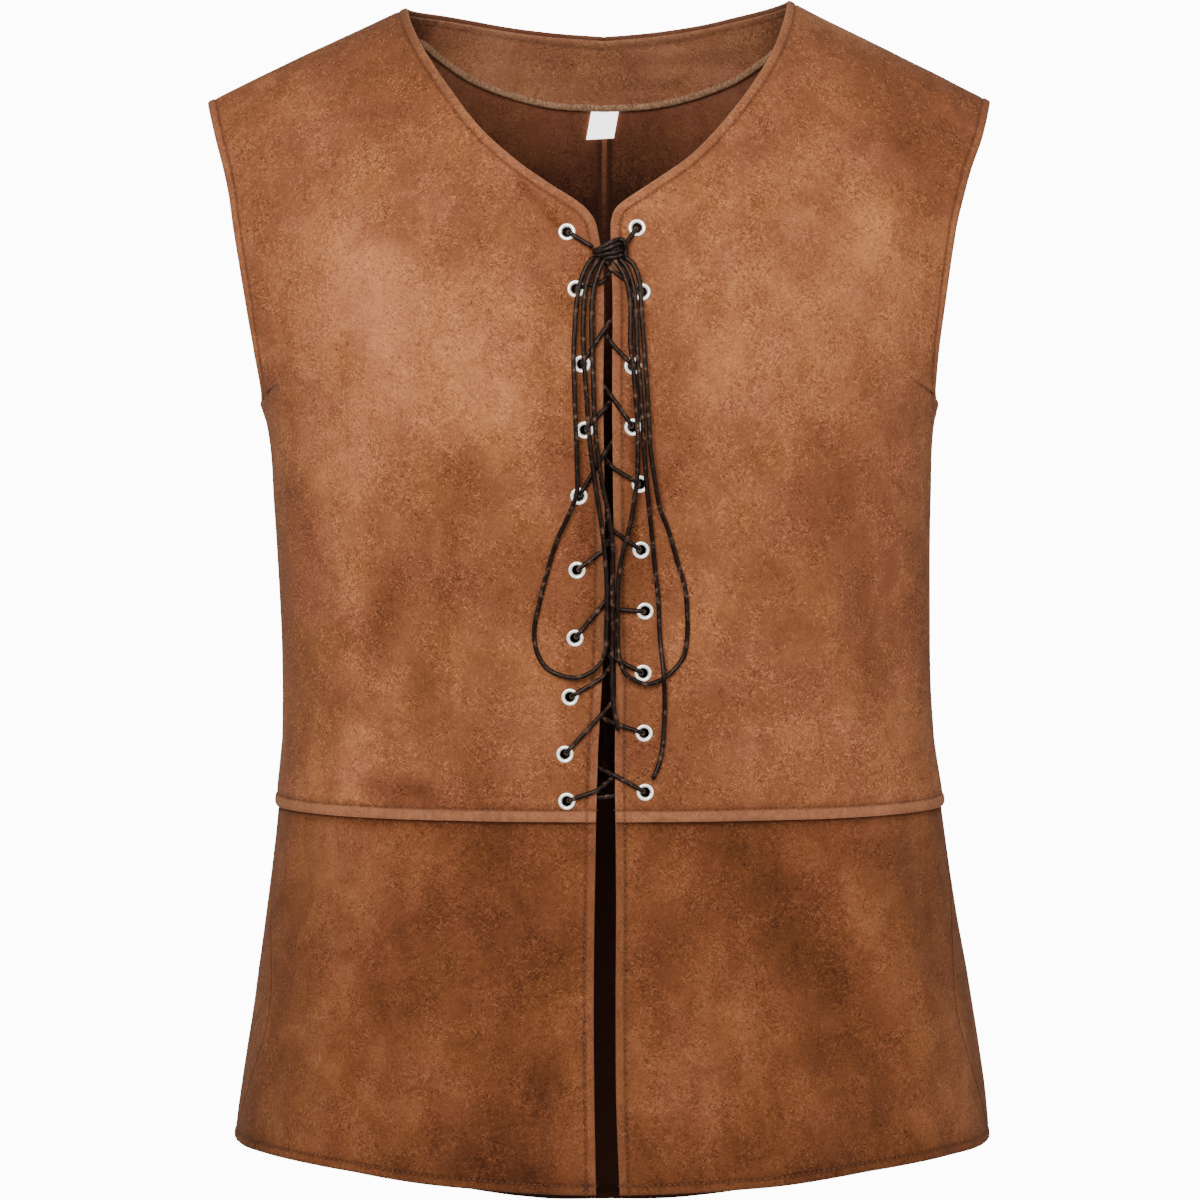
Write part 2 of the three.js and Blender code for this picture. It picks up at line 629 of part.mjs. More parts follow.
function backSkirtGrid() {
  const grid = SKIRT_ROWS.map((share) => {
    const cells = [];
    const farZ = mix(SKIRT_TOP_Z, hemZ(Math.PI / 2), share);
    for (let c = -COLUMNS; c <= COLUMNS; c += 1) {
      const side = c < 0 ? 'right' : 'left';
      cells.push(skirtCell(side, mix(Math.PI, seamTurn(farZ), Math.abs(c) / COLUMNS), share));
    }
    return cells;
  });
  alongSeam(grid.map((row) => row[0]), 'right', 1);
  alongSeam(grid.map((row) => row[2 * COLUMNS]), 'left', 1);
  return grid;
}

// ---------- inside the back neck ----------
function insideBack(x, z, inset) {
  const side = x < 0 ? 'right' : 'left';
  const turn = turnOf(side, x, z, 'back');
  const cell = cloth(side, turn, z);
  cell.at.addScaledVector(cell.out, -inset);
  return cell;
}

function facingGrid() {
  const { bands } = FACING;
  const grid = [];
  for (let band = 0; band <= bands; band += 1) {
    const cells = [];
    for (let step = -NECK_COLUMNS; step <= NECK_COLUMNS; step += 1) {
      const share = neckStep(step / NECK_COLUMNS);
      const side = share < 0 ? 'right' : 'left';
      const reach = NECK_X[side];
      const lowReach = reach + FACING_ON_SHOULDER;
      const lowTable = [...FACING_EDGE, { x: lowReach, z: ridgeZ(side, lowReach) - FACING.drop }];
      const x = mix(reach, lowReach, band / bands) * share;
      const topZ = backNeckZ(side, Math.abs(reach * share)) - FACING.drop;
      const lowZ = between(lowTable, 'z', Math.abs(lowReach * share), 'x');
      const z = Math.min(mix(topZ, lowZ, band / bands), ridgeZ(side, x) - FACING.drop);
      cells.push(insideBack(x, z, FACING.inset));
    }
    grid.push(cells);
  }
  return grid;
}

function labelGrid() {
  const top = between(FACING_EDGE, 'z', 0, 'x') - 0.6;
  const grid = [];
  for (const down of [0, 0.5, 1]) {
    const cells = [-0.5, 0, 0.5].map((across) => {
      const x = LABEL.x + across * LABEL.width + down * LABEL.lean;
      return insideBack(x, top - down * LABEL.height + across, LABEL.inset);
    });
    grid.push(cells);
  }
  return grid;
}

// ---------- eyelets ----------
function eyeletFrame({ x, z }) {
  const at = onFront(x, z, 0);
  const out = onFront(x, z, 1).sub(at).normalize();
  return { at, turned: new THREE.Quaternion().setFromUnitVectors(new THREE.Vector3(0, 1, 0), out) };
}

function eyeletGeometry() {
  const { bore, barrel, flange, crown, rearFlange, height, sides } = EYELET;
  const { front, rear } = EYELET_SEAT;
  const profile = [
    [bore, -rear - height / 2],
    [rearFlange, -rear],
    [barrel, -rear],
    [barrel, front],
    [flange, front],
    [crown, front + height],
    [bore, front + height / 4],
    [bore, -rear - height / 2],
  ];
  return new THREE.LatheGeometry(profile.map(([r, y]) => new THREE.Vector2(r, y)), sides);
}

const wasm = await Module();
wasm.setup();

function toSolid(geometry) {
  const bare = geometry.clone();
  bare.deleteAttribute('normal');
  bare.deleteAttribute('uv');
  const merged = mergeVertices(bare, 1e-4);
  const vertProperties = new Float32Array(merged.attributes.position.array);
  const triVerts = new Uint32Array(merged.index.array);
  return new wasm.Manifold(new wasm.Mesh({ numProp: 3, vertProperties, triVerts }));
}

function fromSolid(solid) {
  const mesh = solid.getMesh();
  const geometry = new THREE.BufferGeometry();
  geometry.setAttribute('position', new THREE.BufferAttribute(new Float32Array(mesh.vertProperties), 3));
  geometry.setIndex(new THREE.BufferAttribute(new Uint32Array(mesh.triVerts), 1));
  geometry.computeVertexNormals();
  return geometry;
}

function punched(geometry, side) {
  let solid = toSolid(geometry);
  for (const eyelet of EYELETS[side]) {
    const { at, turned } = eyeletFrame(eyelet);
    const punch = new THREE.CylinderGeometry(PUNCH.radius, PUNCH.radius, PUNCH.length, PUNCH.sides);
    punch.applyQuaternion(turned).translate(at.x, at.y, at.z);
    solid = solid.subtract(toSolid(punch));
  }
  return fromSolid(solid);
}

// ---------- lace ----------
// a tube's steps fall on the curve's own points, so that tight bends keep their shape
class PointedCurve extends THREE.CatmullRomCurve3 {
  getPointAt(u, target) {
    return this.getPoint(u, target);
  }

  getTangentAt(u, target) {
    return this.getTangent(u, target);
  }
}

function roundSection(radius, sides) {
  const shape = new THREE.Shape();
  for (let i = 0; i < sides; i += 1) {
    const a = (2 * Math.PI * i) / sides;
    if (i === 0) shape.moveTo(radius, 0);
    else shape.lineTo(radius * Math.cos(a), radius * Math.sin(a));
  }
  shape.closePath();
  return shape;
}

function tube(curve, steps, sides) {
  const section = roundSection(LACE_D / 2, sides);
  return new THREE.ExtrudeGeometry(section, { steps, bevelEnabled: false, extrudePath: curve });
}

const OTHER = { right: 'left', left: 'right' };
const EDGE_CLEAR = SUEDE / 2 + 0.2;
const EDGE_BEND_R = LACE_D / 2 + LACE_CLEAR;
const REAR_SHIFT = -0.2;
const CROSS_RISE = 0.24;

// up through an eyelet from behind: distance from its middle towards the place before or
// after it on the lace, and lift
const THROUGH_EYELET = [
  { reach: 4.6, lift: -3.4, towards: 'before' },
  { reach: 2.6, lift: -3.6, towards: 'before' },
  { reach: 1.2, lift: -2.6, towards: 'before' },
  { reach: 0.85, lift: -0.2, towards: 'middle' },
  { reach: 1.2, lift: 1.9, towards: 'after' },
  { reach: 2.4, lift: 3.5, towards: 'after' },
  { reach: 4.9, lift: 3.35, towards: 'after' },
];

// from the front of one panel, through the gap, to the back of the other panel
function crossGap(side, from, to) {
  const edgeX = (s, z) => signOf(s) * between(FRONT_EDGE, s, z);
  const near = edgeX(side, from.crossZ);
  const far = edgeX(OTHER[side], from.crossZ);
  const middle = (near + far) / 2;
  const half = Math.abs(far - near) / 2;
  const bend = Math.atan2(EDGE_CLEAR, half) + Math.asin(EDGE_BEND_R / Math.hypot(half, EDGE_CLEAR));
  const way = Math.sign(far - near);
  const rise = (to.z - from.z) * CROSS_RISE;
  const places = [];
  for (const share of [0, 0.5, 1]) {
    const a = bend * share;
    places.push([-half + EDGE_BEND_R * Math.sin(a), EDGE_CLEAR + EDGE_BEND_R * Math.cos(a)]);
  }
  for (const share of [1, 0.5, 0]) {
    const a = bend * share;
    places.push([half - EDGE_BEND_R * Math.sin(a), -EDGE_CLEAR - EDGE_BEND_R * Math.cos(a)]);
  }
  return places.map(([out, lift]) => ({
    x: middle + way * out,
    z: from.crossZ + (rise * out) / (2 * half + 2),
    lift: lift + REAR_SHIFT,
  }));
}

function upThrough(eyelet, comesFrom, goesTo) {
  const halfway = { x: (comesFrom.x + goesTo.x) / 2, z: (comesFrom.z + goesTo.z) / 2 };
  return THROUGH_EYELET.map(({ reach, lift, towards }) => {
    const aim = { before: comesFrom, middle: halfway, after: goesTo }[towards];
    const run = Math.hypot(aim.x - eyelet.x, aim.z - eyelet.z);
    return {
      x: eyelet.x + ((aim.x - eyelet.x) * reach) / run,
      z: eyelet.z + ((aim.z - eyelet.z) * reach) / run,
      lift,
    };
  });
}

// one half of the lace, from its lowest eyelet up to the knot
function climb(startSide) {
  const places = [];
  let side = startSide;
  let comesFrom = EYELETS[OTHER[side]].at(-1);
  for (let i = EYELETS[side].length - 1; i > 0; i -= 1) {
    const eyelet = EYELETS[side][i];
    const next = EYELETS[OTHER[side]][i - 1];
    const gap = crossGap(side, eyelet, next);
    places.push(...upThrough(eyelet, comesFrom, gap[0]), ...gap);
    comesFrom = gap.at(-1);
    side = OTHER[side];
  }
  const top = EYELETS[side][0];
  const knotReach = KNOT.halfWidth + LACE_CLEAR + 0.6;
  const knotEnd = { x: KNOT.x + signOf(side) * knotReach, z: KNOT.z, lift: KNOT.lift };
  places.push(...upThrough(top, comesFrom, knotEnd), knotEnd);
  return places;
}

function lacingCurve() {
  const places = [...climb('right').reverse(), ...climb('left')];
  return new PointedCurve(places.map(({ x, z, lift }) => onFront(x, z, lift)), false, 'centripetal');
}

function knotGeometry() {
  const ball = new THREE.SphereGeometry(1, KNOT_BALL.sides, KNOT_BALL.rings);
  ball.scale(KNOT.halfWidth, KNOT.halfDepth, KNOT.halfHeight);
  const at = onFront(KNOT.x, KNOT.z, KNOT.lift);
  ball.translate(at.x, at.y, at.z);
  return ball;
}

function bowCurve(route) {
  const points = route.map(({ x, z, lift }) => onFront(x, z, lift));
  return new THREE.CatmullRomCurve3(points, false, 'centripetal');
}

// ---------- the vest ----------
const vest = new THREE.Group();

function add(name, geometry, material) {
  const mesh = new THREE.Mesh(geometry, material);
  mesh.name = name;
  vest.add(mesh);
  return mesh;
}

for (const side of ['right', 'left']) {
  add(`bodice_front_${side}`, punched(wall(frontBodiceGrid(side), SUEDE), side), TAN_SUEDE);
  add(`bodice_back_${side}`, wall(backBodiceGrid(side), SUEDE), TAN_SUEDE);
  add(`skirt_front_${side}`, wall(frontSkirtGrid(side), SUEDE), BROWN_SUEDE);
}
add('skirt_back', wall(backSkirtGrid(), SUEDE), BROWN_SUEDE);
add('back_neck_facing', wall(facingGrid(), FACING.thickness), FACING_SUEDE);
add('neck_label', wall(labelGrid(), LABEL.thickness), LABEL_CLOTH);

for (const side of ['right', 'left']) {
  EYELETS[side].forEach((eyelet, i) => {
    const number = String(i + 1).padStart(2, '0');
    const { at, turned } = eyeletFrame(eyelet);
    const mesh = add(`eyelet_${side}_${number}`, eyeletGeometry(), EYELET_METAL);
    mesh.position.copy(at);
    mesh.quaternion.copy(turned);
  });
}

const lacing = lacingCurve();
add('lacing', tube(lacing, lacing.points.length - 1, LACE_SIDES.laced), LACE_LEATHER);
add('lace_knot', knotGeometry(), LACE_LEATHER);
for (const [name, route] of Object.entries(BOW_ROUTES)) {
  const curve = bowCurve(route);
  const steps = Math.round(curve.getLength() / FREE_LACE_STEP);
  add(name, tube(curve, steps, LACE_SIDES.free), LACE_LEATHER);
}

export default vest;
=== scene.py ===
import math

import bmesh
import bpy
import numpy as np
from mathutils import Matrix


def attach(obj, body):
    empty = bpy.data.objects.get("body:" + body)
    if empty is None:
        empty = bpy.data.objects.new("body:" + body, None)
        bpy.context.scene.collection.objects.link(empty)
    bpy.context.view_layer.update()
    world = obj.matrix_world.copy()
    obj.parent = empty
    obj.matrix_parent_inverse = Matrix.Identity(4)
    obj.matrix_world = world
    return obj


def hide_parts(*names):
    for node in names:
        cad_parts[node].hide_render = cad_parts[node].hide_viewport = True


# A laced suede vest in its hollow worn form. Tables are in millimetres, in the row's frame:
# +Z up, the front faces -Y, the wearer's right is at -X. Meshes are made in metres.

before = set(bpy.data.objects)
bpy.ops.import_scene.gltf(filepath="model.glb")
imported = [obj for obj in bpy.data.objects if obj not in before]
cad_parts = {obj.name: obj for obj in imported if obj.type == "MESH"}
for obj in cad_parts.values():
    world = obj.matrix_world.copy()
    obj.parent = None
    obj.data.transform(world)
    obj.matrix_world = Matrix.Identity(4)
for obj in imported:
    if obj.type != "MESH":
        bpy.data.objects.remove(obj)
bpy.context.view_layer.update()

MM = 0.001


def table(names, *rows):
    """A table as a dict of columns."""
    return dict(zip(names.split(), np.array(rows, float).T))


# ---------- the form of the vest, as in the part's source ----------
SUEDE = 1.4
NECK_X = {-1: 122.0, 1: 113.5}
NECK_Z = {-1: -3.0, 1: 1.4}
NECK_ARCH = 41.0
SHOULDER_TIP_Z = -61.0
SHOULDER_TIP_X = {-1: 246.0, 1: 239.5}
ROUNDING = {"depth": 220.0, "power": 0.6}
SQUARENESS = 2.3
UNDERARM_Z = -252.0
WAIST_Z = -497.0
WAIST_LAP = 8.0
LAP_STEP = SUEDE + 0.6
LAP_EASE = 34.0
HEM_SIDE_Z = -705.0
HEM_DIP = {"front": 9.0, "back": 76.0}
HEM_RISE = 5.0
SKIRT_TOP_Z = WAIST_Z + WAIST_LAP - 0.3
SIDES = {"right": -1, "left": 1}

SECTIONS = table(
    "z right left front back",
    (10, 268, 262, 114, 108),
    (-100, 262, 256, 115, 110),
    (-177, 247, 238, 118, 112),
    (-215, 231, 222, 119, 112),
    (-252, 211.6, 205.8, 118, 110),
    (-307, 205.3, 202.8, 114, 105),
    (-383, 200.8, 202.7, 109, 99),
    (-433, 199.8, 204, 108, 98),
    (-498, 203, 210.3, 111, 103),
    (-552, 209, 217.6, 117, 110),
    (-609, 217.1, 227.8, 126, 118),
    (-666, 225.6, 236.9, 134, 125),
    (-720, 232.4, 242, 139, 130),
    (-790, 240, 248, 145, 136),
)
FRONT_EDGE = table(
    "z right left",
    (0, 122, 113.5),
    (-16, 116.8, 109.5),
    (-36, 106.8, 101.8),
    (-60, 91.3, 87.7),
    (-84, 73.6, 69.4),
    (-104, 52.5, 50.2),
    (-118, 33.5, 30.5),
    (-128, 18, 15.4),
    (-134, 10.6, 7.6),
    (-141, 5.6, 4.2),
    (-152, 3, 3.7),
    (-165, 1, 4),
    (-188, 0.1, 4.8),
    (-247, 0.5, 4.6),
    (-318, -0.4, 5.3),
    (-365, -0.3, 5.4),
    (-407, 0.9, 6.8),
    (-460, 3.8, 6.3),
    (-543, 5.6, 7),
    (-601, 6.2, 6.7),
    (-659, 5.8, 7),
    (-720, 4.7, 9.3),
)
ARMHOLE = table(
    "z right left",
    (SHOULDER_TIP_Z, SHOULDER_TIP_X[-1], SHOULDER_TIP_X[1]),
    (-86, 238.5, 231.7),
    (-105, 232.4, 224.2),
    (-124, 227.8, 218.3),
    (-143, 224.7, 213.3),
    (-180, 218, 207.2),
    (-216, 212.4, 203),
    (-240, 209.6, 202.6),
    (-252, 211.6, 205.8),
)
BACK_NECK = [(0, -12), (30, -10), (60, -7), (84, -3.6), (104, -1.2)]
FACING_EDGE = [(0, -54.4), (30, -53), (56, -48), (84, -38.7), (104, -27), (117, -18)]
FACING_ON_SHOULDER = 22.0
SKIRT_SEAM = table(
    "z turn",
    (-489, 90),
    (-520, 86),
    (-560, 77),
    (-605, 68.5),
    (-632, 68),
    (-660, 72.5),
    (-685, 78),
    (-720, 84),
)
# soft folds of the part's source: from one place to another, full width, height
FOLDS = table(
    "front x1 z1 x2 z2 wide high",
    (1, -70, -282, -135, -400, 46, -3.2),
    (1, -118, -395, -165, -470, 40, 3.4),
    (1, -110, -455, -90, -482, 34, -2.4),
    (1, -80, -190, -150, -150, 60, 2.6),
    (1, 135, -260, 168, -400, 34, -3),
    (1, 128, -330, 150, -455, 38, 3),
    (1, 80, -180, 150, -150, 60, 2.6),
    (1, -140, -530, -160, -640, 60, 4),
    (1, -40, -600, -70, -700, 44, -4),
    (1, -95, -540, -110, -690, 52, 2.4),
    (1, 92, -510, 175, -670, 44, -4.6),
    (1, 150, -520, 195, -640, 48, 4),
    (1, 55, -560, 110, -700, 50, 3.6),
    (1, 30, -600, 45, -690, 34, -3),
    (0, -70, -330, -150, -420, 44, -3.2),
    (0, 64, -345, 140, -440, 46, -3),
    (0, -60, -430, -20, -470, 36, 2.6),
    (0, -150, -530, -172, -720, 50, 4),
    (0, -80, -520, -92, -750, 46, -4.4),
    (0, -8, -540, 4, -775, 54, 4),
    (0, 76, -520, 94, -750, 48, -4.2),
    (0, 148, -530, 174, -720, 52, 4.2),
)
# smaller creases, in the same columns
CREASES = table(
    "front x1 z1 x2 z2 wide high",
    (1, -148, -458, -104, -487, 13, -1.6),
    (1, -150, -448, -118, -474, 12, 0.9),
    (1, -216, -64, -206, -78, 8, 1.2),
    (1, -208, -62, -198, -80, 10, -1.0),
    (1, 208, -60, 218, -76, 8, 1.2),
    (1, 198, -62, 209, -82, 10, -1.0),
    (1, -196, -262, -150, -300, 16, -1.3),
    (1, -186, -282, -150, -318, 14, 0.9),
    (1, 192, -262, 152, -296, 16, -1.3),
    (1, 186, -284, 152, -322, 14, 0.9),
    (1, -178, -340, -186, -430, 16, -1.1),
    (1, 176, -350, 184, -440, 16, -1.2),
    (1, 132, -345, 138, -392, 10, 0.8),
    (1, -60, -128, -26, -168, 18, -1.2),
    (1, 58, -130, 36, -168, 18, -1.0),
    (1, 28, -180, 30, -300, 14, -0.8),
    (1, -30, -200, -32, -330, 16, -0.7),
    (1, -178, -500, -186, -560, 16, -1.2),
    (1, 188, -505, 200, -580, 18, -1.4),
    (1, -130, -500, -138, -540, 16, -1.0),
    (1, 60, -500, 66, -548, 18, -0.9),
    (1, 120, -504, 134, -560, 20, 1.2),
    (1, -196, -640, -206, -700, 14, -1.2),
    (1, -128, -640, -150, -700, 20, -1.3),
    (1, 140, -640, 156, -702, 18, -1.3),
    (1, 200, -640, 212, -700, 16, -1.2),
    (1, 84, -640, 96, -704, 16, 1.0),
    (0, -196, -262, -140, -312, 18, -1.5),
    (0, 192, -262, 138, -314, 18, -1.5),
    (0, -150, -290, -90, -330, 16, 1.0),
    (0, 146, -292, 92, -334, 16, 1.0),
    (0, -120, -60, -60, -130, 22, -1.0),
    (0, 118, -60, 58, -132, 22, -1.0),
    (0, -30, -380, -90, -400, 16, -1.2),
    (0, 26, -392, 96, -408, 16, -1.2),
    (0, -40, -455, -130, -470, 14, -1.2),
    (0, 40, -462, 128, -474, 14, -1.1),
    (0, -120, -500, -126, -560, 16, -1.2),
    (0, -40, -500, -44, -570, 16, -1.1),
    (0, 40, -500, 42, -566, 16, -1.1),
    (0, 116, -500, 124, -566, 16, -1.2),
    (0, -120, -640, -130, -702, 18, 1.1),
    (0, 40, -640, 44, -702, 18, 1.2),
)

EYELETS = {
    "right": table(
        "x z cross_z",
        (-21.9, -148.9, 0),
        (-16.6, -182.3, -175),
        (-13.1, -226.2, -203),
        (-11.4, -264.8, -250),
        (-14.9, -303.7, -275.5),
        (-16.1, -347.4, -330),
        (-17.3, -387.7, -361.5),
        (-20.3, -422.8, -406),
        (-23.3, -456.7, -429),
        (-22.1, -484.5, -474),
    ),
    "left": table(
        "x z cross_z",
        (19.2, -146.5, 0),
        (22.1, -184.1, -168),
        (16.8, -227.4, -211),
        (16.8, -263.1, -242.5),
        (21.1, -296.6, -284),
        (21.7, -335.5, -321),
        (24.1, -371.7, -368),
        (23, -408.6, -398),
        (23.6, -444.2, -436.5),
        (24.2, -479.2, -467),
    ),
}
HOLE_R = 3.4

LACE_D = 2.8
LACE_CLEAR = 0.3
KNOT = {"x": 2.3, "z": -158.6, "lift": 5.1, "half": 8.0}
# the free strands: places on the front with their height over the cloth's middle
BOW_ROUTES = {
    "bow_loop_right": [
        (-5.4, -163.7, 5), (-9.2, -168, 5.9), (-13.4, -177, 6.6), (-15.9, -189, 6.6),
        (-17.2, -206, 6.6), (-17.8, -218, 6.6), (-17.4, -240, 6.6), (-16.6, -262, 6.6),
        (-15.9, -285, 6.6), (-16.2, -302, 6.6), (-22, -317, 5.4), (-27.6, -329, 3.8),
        (-33.6, -348.5, 2.6), (-38.3, -367.5, 2.4), (-41.2, -382, 2.4), (-40, -395, 2.4),
        (-34.4, -405, 2.6), (-25.2, -409.8, 3.8), (-16, -410.8, 5.8), (-8.4, -408, 6.6),
        (-2.4, -402.6, 6.6), (0.6, -395, 6.6), (1.5, -377, 6.6), (1.4, -353, 6.6),
        (-0.1, -332.5, 6.6), (-2.4, -315, 6.6), (-4.8, -300, 6.6), (-7.2, -282.5, 6.6),
        (-9, -265, 6.6), (-10.2, -247, 6.6), (-11.4, -230, 6.6), (-12.3, -215.5, 6.6),
        (-12.2, -196, 6.6), (-10.2, -179.5, 6.6), (-6.2, -170, 5.9), (-2.1, -163.9, 5),
    ],
    "lace_end_right": [
        (1.1, -164, 5), (-2.5, -171, 5.9), (-5.8, -181, 6.6), (-7.4, -196, 6.6),
        (-7.2, -215.5, 6.6), (-6.5, -235.5, 6.6), (-5.2, -265, 6.6), (-3.2, -282.5, 6.6),
        (-0.6, -299, 6.6), (2.4, -313.5, 6.6), (4.6, -330, 6.6), (4.8, -353, 6.6), (4.7, -377, 6.6),
        (4.6, -395, 6.6), (4.8, -418.5, 6.6), (6, -431.5, 6.6), (8.3, -443, 6.6),
    ],
    "bow_loop_left": [
        (11.2, -163.7, 5), (16.8, -168.5, 5.9), (20.6, -179, 6.6), (21.6, -196, 6.6),
        (23.2, -218, 6.6), (25.2, -247, 6.6), (26.7, -274, 6.6), (29.4, -294, 6.4),
        (32.8, -311.5, 5), (37, -322, 3.6), (42.6, -341, 2.5), (47.4, -357.5, 2.4),
        (48.8, -372, 2.4), (48.8, -387.5, 2.4), (46.6, -399, 2.4), (39.6, -408, 2.8),
        (32.4, -412.8, 4.2), (24.6, -414.6, 6), (18.6, -412.6, 6.6), (12.8, -408.8, 6.6),
        (9.4, -401.8, 6.6), (8, -392, 6.6), (7.9, -377, 6.6), (8, -357.5, 6.6), (9.6, -342.5, 6.6),
        (13.1, -328, 6.6), (15.4, -318.5, 6.6), (17.8, -303.5, 6.6), (19, -294, 6.6),
        (19.4, -264, 6.6), (18.2, -245, 6.6), (16.4, -225, 6.6), (15.2, -215, 6.6), (15, -190, 6.6),
        (12.4, -177, 6.6), (8.4, -169.5, 5.9), (4.3, -163.9, 5),
    ],
    "lace_end_left": [
        (7.8, -164, 5), (12.9, -170.2, 5.9), (16.9, -181, 6.6), (18.4, -196, 6.6),
        (19.2, -218, 6.6), (21.6, -247, 6.6), (22.9, -270, 6.6), (24.4, -294, 6.4), (27, -318, 4.2),
        (29.4, -342.5, 2.5), (31.6, -363, 2.4), (32.8, -388, 3), (34, -400, 5.4), (34.8, -411, 7.3),
        (35.4, -421, 5.2), (35.6, -432, 2.6), (35, -445, 2.4), (33.8, -456, 2.4), (31.4, -465, 2.4),
        (28.4, -472, 2.4),
    ],
}


# ---------- the body's surface ----------
def between(rows, key, at, by="z"):
    """A smooth value between the rows of a table."""
    xs, ys = rows[by], rows[key]
    if xs[0] > xs[1]:
        xs, ys = xs[::-1], ys[::-1]
    slopes = np.gradient(ys, xs)
    slopes[1:-1] = (ys[2:] - ys[:-2]) / (xs[2:] - xs[:-2])
    value = np.clip(at, xs[0], xs[-1])
    i = np.clip(np.searchsorted(xs, value) - 1, 0, len(xs) - 2)
    step = xs[i + 1] - xs[i]
    t = (value - xs[i]) / step
    ease = 3 * t**2 - 2 * t**3
    bend = (t**3 - 2 * t**2 + t) * slopes[i] + (t**3 - t**2) * slopes[i + 1]
    return (1 - ease) * ys[i] + ease * ys[i + 1] + step * bend


def sided(rows, sign, z):
    """The value of a side at a height: right where the sign is negative."""
    return np.where(sign < 0, between(rows, "right", z), between(rows, "left", z))


def unit(v):
    return v / np.linalg.norm(v, axis=-1, keepdims=True)


def mix(a, b, t):
    return a + (b - a) * t


def smooth(value, low, high):
    """0 below low, 1 above high, smooth between."""
    t = np.clip((value - low) / (high - low), 0, 1)
    return t * t * (3 - 2 * t)


def bell(value, at, wide):
    """1 at that value, fading to both sides."""
    return np.exp(-(((value - at) / wide) ** 2))


def of_side(pair, sign):
    """What a pair keeps under -1 or 1, for each sign."""
    return np.where(sign < 0, pair[-1], pair[1])


def shoulder_fall(sign):
    """How steeply the shoulder ridge falls from the neck to its tip."""
    run = of_side(SHOULDER_TIP_X, sign) - of_side(NECK_X, sign)
    return (of_side(NECK_Z, sign) - SHOULDER_TIP_Z) / run


def ridge_z(sign, x):
    """Height of the shoulder ridge, and of its arch over the neck, at a distance from the centre."""
    neck, neck_z = of_side(NECK_X, sign), of_side(NECK_Z, sign)
    out = np.abs(x) / neck
    shoulder = neck_z - shoulder_fall(sign) * (np.abs(x) - neck)
    return np.where(out > 1, shoulder, neck_z * out + NECK_ARCH * (1 - out**2))


def round_over(sign, x, z):
    """How much of its depth the form has: nothing on the shoulder ridge, all well below it."""
    share = np.clip((ridge_z(sign, x) - z) / ROUNDING["depth"], 0, 1)
    return (1 - (1 - share) ** 2) ** ROUNDING["power"]


def eased(value):
    """Makes the sine or cosine of a turn that of a squarer section."""
    return np.sign(value) * np.abs(value) ** (2 / SQUARENESS)


def smooth_place(sign, turn, z):
    """A place on the form without folds. The turn is 0 at the front centre and pi at the back."""
    x = sign * sided(SECTIONS, sign, z) * eased(np.sin(turn))
    front, back = between(SECTIONS, "front", z), between(SECTIONS, "back", z)
    y = -np.where(np.cos(turn) > 0, front, back) * eased(np.cos(turn)) * round_over(sign, x, z)
    return np.stack(np.broadcast_arrays(x, y, z), -1)


def outward(sign, turn, z):
    """The way out of the form, square to it."""
    sign, turn, z = np.broadcast_arrays(sign, turn, z)
    x = smooth_place(sign, turn, z)[..., 0]
    below = np.maximum(ridge_z(sign, x) - z, 0)
    dz = np.maximum(np.minimum(0.5, below / 4), 1e-4)
    along = smooth_place(sign, turn + 0.002, z) - smooth_place(sign, turn - 0.002, z)
    up = smooth_place(sign, turn, z + dz) - smooth_place(sign, turn, z - dz)
    way = np.cross(along, up) * sign[..., None]
    ridge = np.stack([sign * shoulder_fall(sign), 0 * z, 1 + 0 * z], -1)
    return unit(np.where((below < 0.01)[..., None], ridge, way))


def folds_at(rows, on_front, x, z):
    """The sum of a table's folds, each a soft ridge along a straight line, on one face."""
    height = np.zeros(np.broadcast(x, z).shape)
    for front, x1, z1, x2, z2, wide, high in zip(*rows.values()):
        run_x, run_z = x2 - x1, z2 - z1
        t = ((x - x1) * run_x + (z - z1) * run_z) / (run_x**2 + run_z**2)
        t = np.clip(t, 0, 1)
        off = np.hypot(x - x1 - t * run_x, z - z1 - t * run_z)
        height += np.where(on_front == (front > 0), high * bell(off, 0, wide / 2), 0)
    return height


RIPPLE_CELLS = 32


def ripple(points, size, seed):
    """Smooth noise from -1 to 1, with swellings of about that size."""
    lattice = np.random.default_rng(seed).uniform(-1, 1, (RIPPLE_CELLS,) * 3)
    q = points / np.asarray(size, float)
    i = np.floor(q).astype(int)
    f = q - i
    f = f * f * (3 - 2 * f)
    total = np.zeros(points.shape[:-1])
    for corner in np.ndindex(2, 2, 2):
        share = np.ones(total.shape)
        for k, step in enumerate(corner):
            share *= f[..., k] if step else 1 - f[..., k]
        total += share * lattice[tuple((i[..., k] + corner[k]) % RIPPLE_CELLS for k in range(3))]
    return total


def lap_step(z):
    """The lower edge of the bodice steps out over the top of the skirt."""
    start = WAIST_Z + WAIST_LAP + LAP_EASE
    end = WAIST_Z + WAIST_LAP
    return LAP_STEP * np.clip((start - z) / (start - end), 0, 1)


# the front by the laces, which has no small creases: where it ends across, above and below
LACED_AREA = {"across": (44, 78), "above": (128, 150), "below": (486, 500)}
# height, size and seed of the uneven swellings all over the cloth
SWELLINGS = ((0.55, (46, 46, 70), 3), (0.22, (17, 17, 26), 4))


